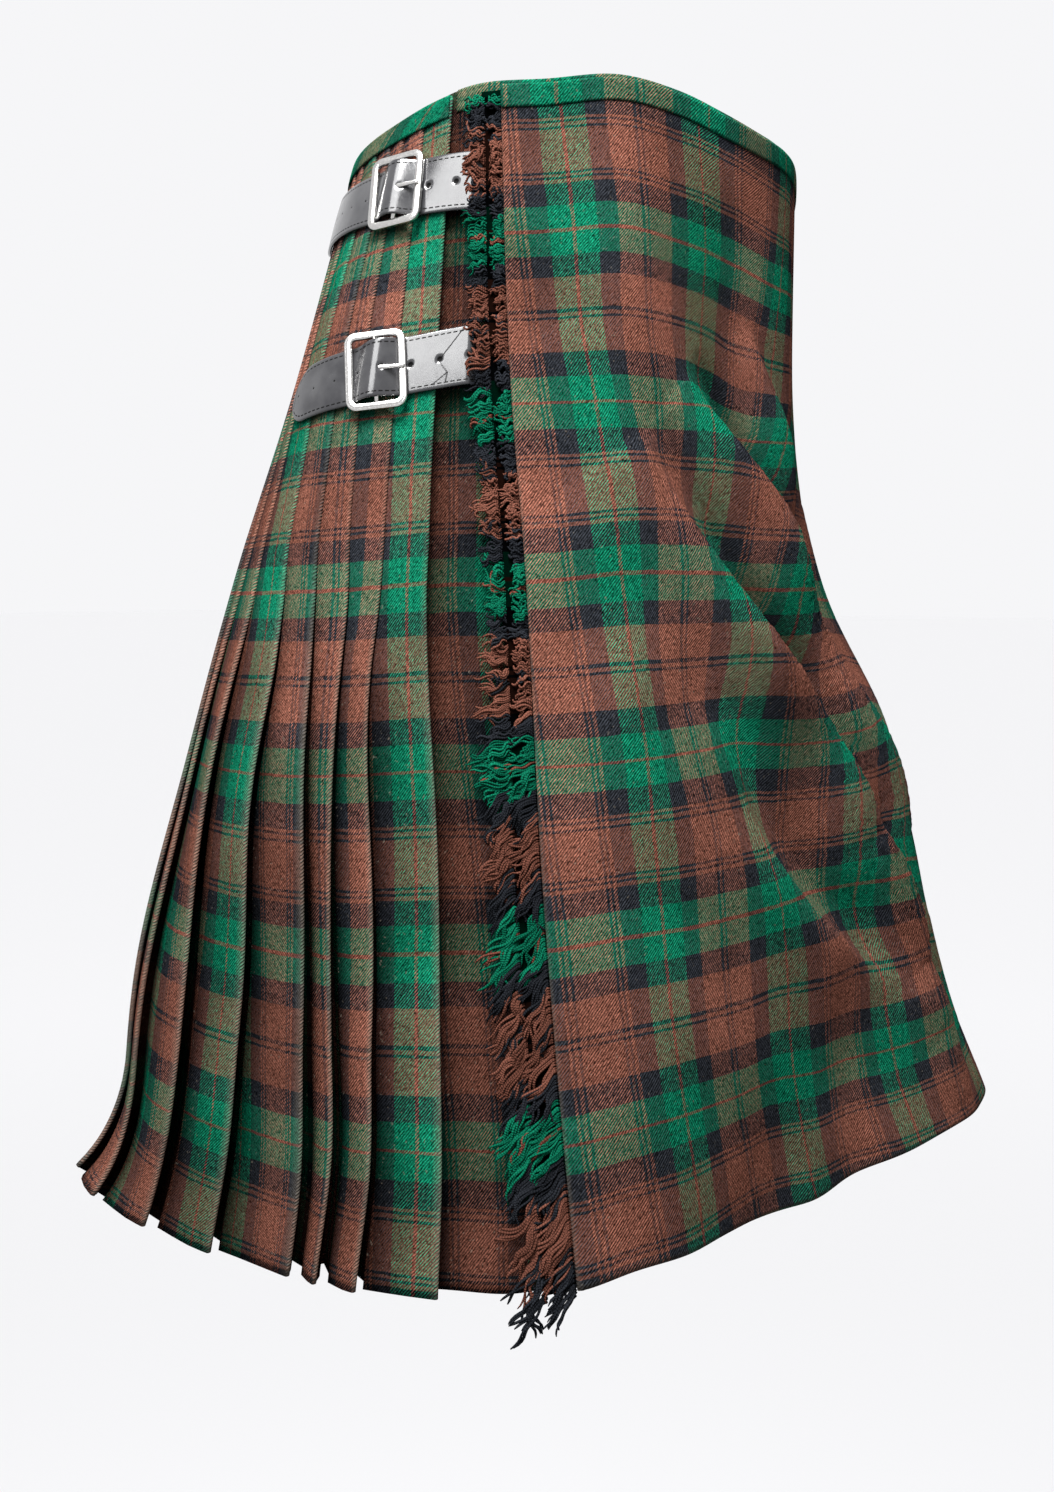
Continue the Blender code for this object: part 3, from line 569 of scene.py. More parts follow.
HIP_PLEATS = (            # azimuths of the crisp edges behind the right hip at HIP_DROPS
    (275.8, 277.1, 277.6, 277.8, 278.6, 280.9, 282.3, 283.4, 283.7),
    (269.8, 271.1, 271.5, 271.7, 271.6, 272.9, 273.6, 274.6, 273.0),
    (264.8, 266.2, 266.8, 267.6, 268.0, 268.7, 268.4, 268.7, 267.6),
    (261.1, 261.9, 262.1, 263.1, 264.4, 265.4, 265.3, 264.7, 262.8),
    (256.4, 256.7, 256.5, 257.7, 259.0, 257.9, 256.1, 254.8, 251.9),
    (250.5, 249.7, 249.2, 249.9, 250.0, 248.6, 247.0, 245.1, 242.5),
    (245.2, 244.0, 243.4, 243.0, 242.0, 239.9, 238.0, 236.3, 234.4),
)


def below_fell(drop):
    """From 0 at the fell to 1 at the hem."""
    return smooth((drop - FELL) / (DROP - FELL))


def pitch(drop):
    """Spacing of the folded layers."""
    return FOLD_PITCH + (HEM_PITCH - FOLD_PITCH) * below_fell(drop)


def last_pleat_edge(drop):
    """Azimuth of the last crisp edge at the right hip."""
    return curve_through(HIP_DROPS, HIP_PLEATS[0], drop) - 360


def under_depth(drop):
    """How far the under apron lies inside the face line."""
    return 2 * pitch(drop) + SEAM_GAP + UNDER_SLACK * smooth(drop / FELL)


under_drops = np.linspace(0, DROP, 110)
under_left = (last_pleat_edge(under_drops) - UNDER_IN_AZ)[:, None]
under_az = under_left + np.linspace(0, 1, 150)[None, :] * (UNDER_END_AZ - under_left)
under_v = np.broadcast_to(under_drops[:, None], under_az.shape)
short = UNDER_SHORT * np.clip((under_az - SHORT_AZ) / SHORT_OVER, 0, 1) * under_v / DROP
under_at = under_v - UNDER_RISE * (1 - under_v / DROP) - short
ripple = UNDER_RIPPLE * np.sin(np.radians(under_az) * 26 + 6 * under_v) * smooth(under_v / 0.2)
under_face, under_back = both_sides(PLAIN, under_az, under_at, under_depth(under_v) + ripple)
under_along = lengths_along(under_face)
under_place = BLACK_PLACE + UNDER_ADVANCE * (under_along - np.interp(under_v, *BLACK_IN))
under_cut = np.stack([under_place, weft_place(under_v, UNDER_FIRST_GREEN)], -1)
# painted shade over the whole under apron, deepest just inside the last pleat
under_shade = -UNDER_SHADE - PLEAT_SHADE * bell(under_along, 0.004, 0.012)
under_apron = cloth_shell("under_apron_cloth", under_face, under_back, under_cut, wool,
                          under_shade)
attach(under_apron, "root")
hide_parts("under_apron")

# ==== Pleated back ============================================================
# One length of the same wool laid in thirty-two knife pleats from the left hip
# round the back to the right hip, each pressed to a crisp edge that faces the
# apron.  They are stitched flat down to the fell and hang open below it.
PLEAT_COUNT = 32
HIDDEN_SHARE = 0.62       # share of a pleat's width that is folded under it
FIRST_TUCK = 0.010        # cloth folded under at the first and the last edge
LAST_TUCK = 0.006
FIRST_BACK_PLEAT = (75.0, 75.2, 76.5)     # azimuth of the first edge at waist, fell and hem
CRISP = 0.0008            # radius of the pressed edge
SPREAD = 0.16             # how unevenly the back pleats hang at the hem
SWAY = 0.0019             # and how far each one's edge wanders
FLAT_LAYER = 0.0014       # depth of a folded layer, more where the folds open, most at the hem
OPEN_LAYER = 0.0028
HEM_LAYER = 0.0028
BELLY = 0.030             # how far an open face bulges, for its width
FACE_SHADE = 0.72          # painted shade: how dark an open fold's face is at its root
# Place in the check at each hip edge, at the fell and at the hem, and how much
# of the check a face shows for its width there.
HIP_STRIPES = ((27, 27, 1.40, 1.10), (52, 55, 1.35, 1.25), (68, 60, 1.30, 1.20),
               (175, 179, 1.50, 1.80), (120, 120, 1.40, 1.03), (150, 155, 1.25, 1.30))
BACK_ADVANCE = 0.079      # how far the check moves on from one back pleat to the next
BACK_PLACE = 0.150        # where it is when the hip edges begin
BACK_SCALE = 1.15         # length of check that a back pleat's face shows for its width
BACK_FIRST_GREEN = 0.0643
BACK_SHRINK = 0.979       # length of check for a length down the pressed pleats
HIDDEN_DIP = 0.0015       # hidden layers hang lower at the hem
BACK_AZ = np.arange(40, 300.25, 0.25)


def pleat_edges(drop):
    """Azimuths of the crisp edges at one drop, from the left hip's fold to the right hip."""
    hip = [float(curve_through(HIP_DROPS, row, drop)) for row in reversed(HIP_PLEATS)]
    first = float(curve_through([0.0, FELL, DROP], FIRST_BACK_PLEAT, drop))
    back = PLEAT_COUNT - len(HIP_PLEATS)
    step = (hip[0] - first) / back
    low = float(below_fell(drop))
    spaced = [first + step * (i + SPREAD * low * sin(2.4 * i)) for i in range(back)]
    return [APRON_FOLD_AZ] + spaced + hip


def pleat_stripes(low):
    """Place in the check at each crisp edge, and how much of it a face shows for its width."""
    hip = [((1 - low) * a / 1000 + low * b / 1000, (1 - low) * c + low * d)
           for a, b, c, d in reversed(HIP_STRIPES)]
    hip_places = [at for at, _ in hip]
    back = PLEAT_COUNT - len(hip)
    back_places = [BACK_PLACE - BACK_ADVANCE * (back - k) for k in range(back)]
    places = back_places + [BACK_PLACE] + hip_places[1:]
    turns = [0.0]
    for k in range(1, len(places)):
        turns.append(turns[-1])
        while places[k] + turns[-1] < places[k - 1] + turns[k - 1] + 0.045:
            turns[-1] += REPEAT
    scale = [BACK_SCALE] * back + [share for _, share in hip]
    return [at + turn for at, turn in zip(back_places + hip_places, turns)], scale


def folded_line(drop):
    """The folded back at one drop: arc length, depth, place in the check, and wear and painted
    shade of its points.
    """
    level = sample(PLAIN[0], BACK_AZ, np.full_like(BACK_AZ, drop))
    arc = np.concatenate([[0.0], np.cumsum(np.linalg.norm(np.diff(level, axis=0), axis=1))])
    edges = np.interp(pleat_edges(drop), BACK_AZ, arc)
    low = float(below_fell(drop))
    edges[1:-1] += [SWAY * low * sin(27 * drop + 2.1 * j) for j in range(1, len(edges) - 1)]
    width = np.diff(edges)
    open_fold = float(smooth((drop - 0.225) / 0.14))
    layer = FLAT_LAYER + OPEN_LAYER * open_fold + HEM_LAYER * low
    stripes, scale = pleat_stripes(low)
    line = [(edges[0] - FIRST_TUCK, 2 * layer + SEAM_GAP, stripes[0] - width[0] - FIRST_TUCK, 0)]
    for j in range(1, len(edges)):
        w = width[j - 1]
        start, edge = edges[j - 1], edges[j]
        stripe, share = stripes[j - 1], scale[j - 1]
        tuck = HIDDEN_SHARE * min(w, width[j]) if j < len(width) else LAST_TUCK
        tilt = tuck * (2 * layer / w)
        belly = 0.0002 + BELLY * w * low * (0.75 + 0.5 * sin(1.7 * j))
        shoulder = min(0.0012 + 0.0009 * open_fold + 0.0019 * low * (1 + sin(2.3 * j + 0.6)),
                       0.28 * w)
        # the root of the fold and its shoulder, then the face out to its edge, painted in shade at
        # the root
        for x, sunk, fold_shade in ((0.0, 1.0, -1), (0.35, 0.86, -0.9),
                              (0.75, 0.56, -0.4 - 0.6 * open_fold), (1.0, 0.45, -open_fold)):
            line.append((start + x * shoulder, 2 * layer * sunk,
                         stripe - share * (w - x * shoulder), fold_shade))
        for t in (0.33, 0.66, 0.90):
            x = start + shoulder + (w - CRISP - shoulder) * t
            line.append((x, 0.9 * layer * (1 - t) - belly * sin(pi * t),
                         stripe - share * (edge - x),
                         -FACE_SHADE * open_fold * max(0.0, 1 - 1.25 * t)))
        # round the crisp edge, rubbed pale where it stands open
        rubbed = 0.3 + 0.7 * open_fold
        line.append((edge - CRISP, 0.0, stripe - CRISP, 0.55 * rubbed))
        for turn, rub in ((-50, rubbed), (0, rubbed), (50, 0.4 * rubbed)):
            a = radians(turn)
            line.append((edge - CRISP + CRISP * cos(a), CRISP + CRISP * sin(a),
                         stripe + CRISP * (a + 0.4), rub))
        # back under it to the next fold's root, painted in full shade
        line += [(edge - CRISP, 2 * CRISP, stripe + 0.0012, -open_fold),
                 (edge - 0.45 * tuck, layer + 0.35 * tilt, stripe + 0.45 * tuck, -1),
                 (edge - tuck, layer + tilt, stripe + tuck, -1)]
        if j < len(edges) - 1:
            line += [(edge - tuck - 0.4 * layer, 1.5 * layer + tilt, stripe + tuck + 0.001, -1),
                     (edge - tuck, 2 * layer + tilt, stripe + tuck + 0.002, -1)]
    return np.array(line), arc


def moved_sideways(line, distance):
    """A line of places moved sideways, mitred at its corners."""
    step = unit(np.diff(line, axis=0))
    side = np.stack([-step[:, 1], step[:, 0]], 1)
    before = np.vstack([side[:1], side])
    after = np.vstack([side, side[-1:]])
    turn = np.maximum(1 + np.sum(before * after, axis=1, keepdims=True), 0.45)
    return line + distance * (before + after) / turn


pleat_drops = np.concatenate([np.linspace(0, FELL, 26), np.linspace(FELL + 0.006, DROP, 64)])
pleat_face, pleat_back, pleat_cut, pleat_wear_and_shade, fold_length = [], [], [], [], []
for level in pleat_drops:
    folded, arc = folded_line(level)
    for side, rows in ((-CLOTH / 2, pleat_face), (CLOTH / 2, pleat_back)):
        moved = moved_sideways(folded[:, :2], side)
        dip = HIDDEN_DIP * smooth((moved[:, 1] - 0.003) / 0.006) * smooth((level - 0.52) / 0.09)
        rows.append(place(PLAIN, np.interp(moved[:, 0], arc, BACK_AZ), level + dip, moved[:, 1]))
    check_down = (level - BACK_FIRST_GREEN) * BACK_SHRINK
    pleat_cut.append(np.stack([folded[:, 2], np.full(len(folded), check_down)], -1))
    pleat_wear_and_shade.append(folded[:, 3])
    fold_length.append(float(np.linalg.norm(np.diff(folded[:, :2], axis=0), axis=1).sum()))
pleated_back = cloth_shell("pleated_back_cloth", np.array(pleat_face), np.array(pleat_back),
                           np.array(pleat_cut), wool, np.array(pleat_wear_and_shade))
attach(pleated_back, "root")
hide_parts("pleated_back")

# ==== Waistbands ==============================================================
# A narrow strip of the wool, cut along its green band, turned in on both edges
# and sewn over the raw top of each part: one on the over apron, one round the
# pleats and one on the under apron, which stands a little higher.
BAND_HEIGHT = 0.0125
BAND_GREEN = 0.0015       # place of the strip in the check's green
BAND_FACE = 0.0013        # its two sides stand this far out from the cloth's face line
BAND_BACK = 0.0007
BAND_PUFF = 0.0003
BAND_ROWS = 11
BAND_SHRINK = 0.85        # length of check for a length down the strip
BAND_RUB = 0.35           # pale at the top edge, darkened below it
BAND_DARKENING = 0.28


def waistband(name, node, form, left, right, columns, depth, rise, check_start):
    """A strip along the top edge; left, right and depth are given for a drop."""
    down = np.linspace(0, BAND_HEIGHT, BAND_ROWS)
    left_az, right_az, deep = (np.array([float(at(v)) for v in down])[:, None]
                               for at in (left, right, depth))
    az = left_az + np.linspace(0, 1, columns)[None, :] * (right_az - left_az)
    v = np.broadcast_to(down[:, None], az.shape)
    puff = BAND_PUFF * np.sin(pi * v / BAND_HEIGHT)**0.5
    face = place(form, az, v - rise, deep - BAND_FACE - puff)
    back = place(form, az, v - rise, deep - BAND_BACK + 0 * az)
    along = lengths_along(face)
    cut = np.stack([check_start + along, BAND_GREEN + v * BAND_SHRINK], -1)
    made = cloth_shell(name, face, back, cut, wool, BAND_RUB * bell(v, 0, 0.0008) - BAND_DARKENING)
    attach(made, "root")
    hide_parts(node)
    return made


waistband("waistband_over_apron", "band_over_apron", DRAPED, lambda v: apron_edge(v) + 0.1,
          lambda v: APRON_FOLD_AZ - 0.2, 220, lambda v: 0.0, 0.0, -0.0155)
waistband("waistband_back", "band_back", PLAIN, lambda v: APRON_FOLD_AZ,
          lambda v: pleat_edges(v)[-1], 320, lambda v: 0.0, 0.0, 0.031)
waistband("waistband_under_apron", "band_under_apron", PLAIN, lambda v: last_pleat_edge(v) + 0.8,
          lambda v: UNDER_END_AZ, 160, under_depth, UNDER_RISE, 0.145)

# ==== Fringe ==================================================================
# Two rows of weft yarn left loose where the warp was drawn out, fused at their
# roots into a narrow strip beside the turned edge.  The yarns keep the colours
# of the check, curl short and thick above and hang longer and combed below.
YARN_SIDES = 4            # corners round a yarn, and rings of them along it
YARN_STEPS = 13
YARNS = 860               # in each row
CLUMP = 6                 # yarns that curl together
PLY = 0.0011              # one turn of the ply along a yarn
COMBED_FROM = 0.27        # drop where the yarns begin to hang combed, and over what length
COMBED_OVER = 0.16
COMBED_LENGTH = 0.0165    # length of a combed yarn, and how much darker it is
COMBED_DARKER = 0.13
EDGE_RADIUS = 0.178       # radius that turns lengths beside the edge into degrees
STRAP_DROPS = (0.0535, 0.1425)            # the yarns ride up over the straps here
OVER_STRAP = 0.0030
YARN_DROPS = (-0.009, 0.655)              # no yarn goes above or below these
YARN_FIRST_GREEN = 0.0700
STRIP_FIRST_GREEN = 0.0650
STRIP_ROWS = 90
STRIP_WIDTH = 0.0016      # beyond the yarns' roots
# painted shade on the strip that holds the roots
ROOT_STRIP_SHADE = 0.35


def fringe_wool(name):
    """Plied yarn in the colours of the check, each yarn as light as its "tone_wear_and_shade" says:
    its own tint, darker where combed, and painted shade on the root strip.
    """
    made, tree, shader, spot = new_material(name)
    grown, rooted = cut_place(tree)
    fuzz = spot.noise(1800.0, 3.0)
    plied = (grown * (2 * pi / PLY)).maths("SINE")
    tint = attribute(tree, "tone_wear_and_shade") + 0.38
    fit(shader, {
        "Base Color": yarn_bands(rooted).shaded((fuzz * 1.1 + 0.55) * (plied * 0.14 + tint)),
        "Roughness": fuzz.ranged(0.0, 1.0, 0.75, 0.95),
        "Normal": (plied + fuzz).bump(0.6, 0.0002),
        "Specular IOR Level": 0.0,
    })
    return made


yarn_wool = fringe_wool("fringe_yarn")


def tube_quads(index):
    """Quads of tubes: the last axis of index goes round a tube and the one before it along."""
    after = np.roll(index, -1, axis=-1)
    return np.stack([index[..., :-1, :], after[..., :-1, :], after[..., 1:, :],
                     index[..., 1:, :]], -1).reshape(-1, 4)


def fringe_row(name, node, gap, reach, seed):
    """A row of loose yarns on a narrow strip, a gap away from the apron's edge."""
    draw = np.random.default_rng(seed)
    drops = np.linspace(0.006, DROP + 0.002, YARNS) + draw.uniform(-0.0008, 0.0008, YARNS)
    clump = (np.arange(YARNS) + draw.uniform(-1.5, 1.5, YARNS)) // CLUMP
    clump = np.clip(clump, 0, YARNS // CLUMP).astype(int)

    def by_clump(low, high):
        return draw.uniform(low, high, YARNS // CLUMP + 1)[clump]

    def by_yarn(low, high):
        return draw.uniform(low, high, YARNS)

    def run_along(steps):
        """Sum of the steps before each point of the yarns."""
        return np.cumsum(np.concatenate([np.zeros((YARNS, 1)), steps[:, :-1]], 1), 1)

    far_row = gap > 0.005
    # how each yarn grows; yarns of one clump do nearly the same
    loose = smooth((drops - COMBED_FROM) / COMBED_OVER)
    length = reach + (COMBED_LENGTH - reach) * loose
    length = length * (1.25 + by_clump(-0.20, 0.20) + by_yarn(-0.12, 0.12))
    droop = 0.20 + by_clump(-0.45, 0.55) * (1 - 0.5 * loose) + 1.06 * loose + by_yarn(-0.14, 0.14)
    bend = by_clump(-1.1, 1.3) * (1 - 0.6 * loose)
    curl = (by_clump(-2.4, 2.4) + draw.normal(0.0, 1.2, YARNS)) * (1 - 0.75 * loose)
    crimp = by_clump(0.50, 1.45) * (1 - 0.60 * loose)
    waves = by_clump(0.8, 2.2)[:, None]
    phase = (by_clump(0, 2 * pi) + draw.normal(0.0, 0.7, YARNS))[:, None]
    lift = by_clump(0.0004, 0.0024) + by_yarn(0.0, 0.0008)
    thick = by_yarn(0.00050, 0.00078)
    tint = by_clump(0.10, 0.45) + by_yarn(0.0, 0.16) - COMBED_DARKER * loose
    # the middles of the yarns, step by step from their roots
    s = np.linspace(0, 1, YARN_STEPS)
    step = length[:, None] / (YARN_STEPS - 1)
    heading = (droop[:, None] * s[None, :]**(0.7 - 0.45 * loose[:, None]) + bend[:, None] * s
               + curl[:, None] * s**2.4 + crimp[:, None] * np.sin(2 * pi * waves * s + phase))
    away = gap + 0.0015 * far_row * loose[:, None] + run_along(np.cos(heading) * step)
    down = drops[:, None] + run_along(np.sin(heading) * step)
    out = (lift[:, None] * np.sin(pi * np.clip(s * 1.15, 0, 1)) - 0.0016 * (1 - s)**3
           + 0.00045 * np.sin(2 * pi * 2.1 * s + 1.7 * phase) * s)
    for strap_at in STRAP_DROPS:
        out = out + (OVER_STRAP * bell(down, strap_at, 0.0175, 6)
                     * smooth((away - 0.0130) / 0.0040))
    az = apron_edge(np.clip(drops, 0, DROP))[:, None] - np.degrees(away / EDGE_RADIUS)
    kept_down = np.clip(down, *YARN_DROPS)
    centre = place(PLAIN, az, kept_down, -out)
    along = unit(np.gradient(centre, axis=1))
    side = unit(np.cross(along, sample(PLAIN[1], az, kept_down)))
    upper = np.cross(side, along)
    # their rounds, thinner at the tips
    radius = thick[:, None] * np.array([1.0] * (YARN_STEPS - 2) + [0.9, 0.45])[None, :]
    turns = [2 * pi * k / YARN_SIDES for k in range(YARN_SIDES)]
    yarns = np.stack([centre + radius[..., None] * (cos(a) * side + sin(a) * upper)
                      for a in turns], 2)
    index = np.arange(YARNS * YARN_STEPS * YARN_SIDES).reshape(YARNS, YARN_STEPS, YARN_SIDES)
    row_place = weft_place(drops + 0.012 * loose, YARN_FIRST_GREEN)
    row_place = np.minimum(row_place, 3 * REPEAT - 0.0005)
    grown = np.broadcast_to((s[None, :] * length[:, None])[..., None], index.shape)
    rooted, shade = (np.broadcast_to(value[:, None, None], index.shape)
                     for value in (row_place, tint))
    # the strip that holds their roots
    strip_drops = np.linspace(0.002, DROP - 0.001, STRIP_ROWS)
    inner = gap - min(0.0026, gap + 0.0024) - 0.0070 * far_row
    outer = gap + STRIP_WIDTH
    strip = np.stack([place(PLAIN, apron_edge(strip_drops) - degrees(beside / EDGE_RADIUS),
                            strip_drops, np.full(STRIP_ROWS, deep))
                      for beside, deep in ((inner, 0.0013), (outer, 0.0011), (outer, 0.0018),
                                           (inner, 0.0020))], 1)
    strip_index = index.size + np.arange(STRIP_ROWS * 4).reshape(STRIP_ROWS, 4)
    strip_place = np.repeat(weft_place(strip_drops, STRIP_FIRST_GREEN)[:, None], 4, axis=1)
    corners = np.concatenate([tube_quads(index), index[:, 0, ::-1], index[:, -1],
                              tube_quads(strip_index), strip_index[:1, ::-1], strip_index[-1:]])
    mesh = bpy.data.meshes.new(name)
    points = np.concatenate([yarns.reshape(-1, 3), strip.reshape(-1, 3)])
    mesh.from_pydata(points.tolist(), [], corners.tolist())
    mesh.polygons.foreach_set("use_smooth", np.ones(len(corners), bool))
    give_cut(mesh, np.concatenate([np.stack([grown.ravel(), rooted.ravel()], -1),
                                   np.stack([0 * strip_place, strip_place], -1).reshape(-1, 2)]))
    # the root strip is painted in shade
    strip_shade = np.full(STRIP_ROWS * 4, -ROOT_STRIP_SHADE)
    give_number(mesh, "tone_wear_and_shade", np.concatenate([shade.ravel(), strip_shade]))
    made = new_piece(name, mesh, yarn_wool)
    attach(made, "root")
    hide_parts(node)
    return made


fringe_near = fringe_row("fringe_beside_apron", "fringe_outer", 0.0002, 0.0082, 11)
fringe_far = fringe_row("fringe_beyond", "fringe_inner", 0.0106, 0.0116, 12)

# ==== Straps ==================================================================
# Black bridle leather, 31.5 mm wide and edge stitched.  The two on the right come
# out from under the fringe and the one on the left from the slit at the fold;
# each rises over its buckle's bar and lies on the pleats beyond it.
STRAP_WIDTH = 0.0315
STRAP_THICK = 0.0018
ON_PLEATS = 0.0020        # heights of its middle: on the pleats, under the fringe, over a bar
UNDER_FRINGE = -0.0040
OVER_BAR = 0.0086
HUMP_REACH = 0.0150
DIP_AZ = 5.2              # degrees past the last pleat's edge where it starts to dip
DIP_OVER = 2.2            # degrees that the dip takes
STATIONS = 210
STRAPS = (                # name, azimuth and drop at the root, the buckle and the tip
    ("right_upper", (-67.0, 0.0545), (-92.9, 0.0472), (-136.0, 0.0350)),
    ("right_lower", (-66.0, 0.1420), (-91.8, 0.1488), (-108.5, 0.1560)),
    ("left", (70.2, 0.0480), (86.0, 0.0480), (103.0, 0.0480)),
)
# Creases and their stitches on a strap, painted as dark lines of shade with a slight bump: places
# past the bar and below its middle.
CREASES = {
    "right_lower": (
        ((-0.0350, 0.0010), (-0.0480, -0.0150)),
        ((-0.0350, 0.0010), (-0.0400, 0.0080)),
        ((-0.0400, 0.0080), (-0.0395, 0.0130)),
        ((-0.0400, 0.0080), (-0.0330, 0.0130)),
    ),
}
CREASE_WIDTH = 0.0006
HOLE_RADIUS = 0.0016
HOLE_DEEP = 0.0012
PRICK_SHARE = 2.6         # holes past the bar are only pricked, this much smaller
PRICK_DEEP = 0.0003
HOLE_PITCH = 0.0155
FIRST_HOLE = 0.0110       # past the bar
STITCH_PITCH = 0.0034
RIM_STITCH = 0.0026       # the stitched line is this far in from the rim
CROWN = 0.0003            # the middle of a strap stands this much higher
TIP_SHARE = 0.16          # width left at the very tip, for its full width
BLACK_HIDE = (0.009, 0.009, 0.010, 1)
GREYED_HIDE = (0.022, 0.022, 0.023, 1)
# painted shade inside holes, stitches and creases
HOLLOW_SHADE = (0.002, 0.002, 0.002, 1)


def bridle_leather(name):
    """Waxed black leather, with punched holes and a stitched line where its strap has them, painted
    near-black as their shade along with the creases.
    """
    made, tree, shader, spot = new_material(name)
    past_bar, off_middle = cut_place(tree)
    grain = wire(tree, "TexVoronoi", {"Vector": spot, "Scale": 1100.0},
                 feature="DISTANCE_TO_EDGE")
    cloudy = spot.noise(60.0, 5.0)
    scuff = spot.noise(420.0, 4.0, Distortion=1.2)
    steps = past_bar * (1 / HOLE_PITCH) + (0.5 - FIRST_HOLE / HOLE_PITCH)
    beside = (steps.maths("FRACT") - 0.5) * HOLE_PITCH
    apart = (beside * beside + off_middle * off_middle).maths("SQRT")
    apart = apart * past_bar.ranged(0.0, 0.004, 1.0, PRICK_SHARE)
    hole = apart.ranged(HOLE_RADIUS * 1.15, HOLE_RADIUS * 0.8, 0.0, 1.0)
    on_line = (attribute(tree, "rim") - RIM_STITCH).maths("ABSOLUTE").maths("LESS_THAN", 0.00036)
    dash = (past_bar / STITCH_PITCH).maths("FRACT").maths("LESS_THAN", 0.66)
    crease = attribute(tree, "crease").ranged(0.55, 0.85, 0.0, 1.0)
    stitch = (on_line * dash).maths("MAXIMUM", crease)
    # holes, stitches and creases are painted near-black and dull as their shade
    sunk = hole.maths("MAXIMUM", stitch)
    colour = cloudy.ranged(0.35, 0.75, 0.0, 1.0).mix(BLACK_HIDE, GREYED_HIDE)
    height = grain * 1.2 + cloudy * 0.8 + stitch * -1.5
    fit(shader, {
        "Base Color": sunk.mix(colour, HOLLOW_SHADE),
        "Roughness": sunk * 0.5 + scuff.ranged(0.3, 0.75, 0.13, 0.22),
        "Specular IOR Level": sunk * -0.40 + 0.42,
        "Normal": height.bump(0.10, 0.0002),
    })
    return made


leather = bridle_leather("black_bridle_leather")


def tube_mesh(name, *tubes, soft=True):
    """A mesh of closed tubes: for each, its rings of places and whether it is a loop."""
    places, faces, done = [], [], 0
    for rings, loop in tubes:
        rings = np.array(rings)
        index = done + np.arange(rings[..., 0].size).reshape(rings.shape[:2])
        done += index.size
        places.append(rings.reshape(-1, 3))
        if loop:
            faces += tube_quads(np.vstack([index, index[:1]])).tolist()
        else:
            faces += tube_quads(index).tolist() + [index[0, ::-1].tolist(), index[-1].tolist()]
    mesh = bpy.data.meshes.new(name)
    mesh.from_pydata(np.concatenate(places).tolist(), [], faces)
    work = bmesh.new()
    work.from_mesh(mesh)
    bmesh.ops.recalc_face_normals(work, faces=work.faces)
    for face in work.faces:
        face.smooth = soft
    work.to_mesh(mesh)
    work.free()
    return mesh


def arc_between(az, other, drop):
    """Length round the cloth from one azimuth to another."""
    line = sample(PLAIN[0], np.linspace(az, other, 9), np.full(9, drop))
    return float(np.sum(np.linalg.norm(np.diff(line, axis=0), axis=1)))


def hump(distance, reach, low, high):
    """High in the middle, low from the reach on."""
    if abs(distance) >= reach:
        return low
    return low + (high - low) * cos(pi * distance / 2 / reach)**2


def strap_drop(az, root, buckle, tip):
    """Drop of a strap's centre line at an azimuth."""
    return float(curve_through(*zip(*sorted((root, buckle, tip))), az))


def strap_course(root, buckle, tip):
    """Azimuth, drop and height of stations from root to tip, and their lengths past the bar."""
    stations = []
    for az in np.linspace(root[0], tip[0], STATIONS):
        drop = strap_drop(az, root, buckle, tip)
        out = hump(arc_between(az, buckle[0], drop), HUMP_REACH, ON_PLEATS, OVER_BAR)
        if root[0] > buckle[0]:
            sunk = float(smooth((az - (float(last_pleat_edge(drop)) + DIP_AZ)) / DIP_OVER))
            out = out + (UNDER_FRINGE - ON_PLEATS) * sunk
        stations.append((az, drop, out))
    line = np.array([place(PLAIN, np.array([a]), d, np.array([-o]))[0] for a, d, o in stations])
    run = np.concatenate([[0.0], np.cumsum(np.linalg.norm(np.diff(line, axis=0), axis=1))])
    at_bar = int(np.argmin([abs(a - buckle[0]) for a, _, _ in stations]))
    return stations, run - run[at_bar]


def strap_outline():
    """Outline of a strap's cut, as shares of its half width and half thickness."""
    face = [(x, 1.0) for x in np.linspace(-0.955, 0.955, 31)]
    back = [(x, -1.0) for x in np.linspace(0.955, -0.955, 9)]
    right = [(0.985, 0.82), (1.0, 0.45), (1.0, -0.45), (0.985, -0.82)]
    left = [(-0.985, -0.82), (-1.0, -0.45), (-1.0, 0.45), (-0.985, 0.82)]
    return np.array(face + right + back + left)


def apart_from(spots, start, end):
    """Distance of spots from the line between two of them."""
    start, run = np.array(start), np.subtract(end, start)
    t = np.clip((spots - start) @ run / (run @ run), 0, 1)
    return np.linalg.norm(spots - start - t[:, None] * run, axis=1)


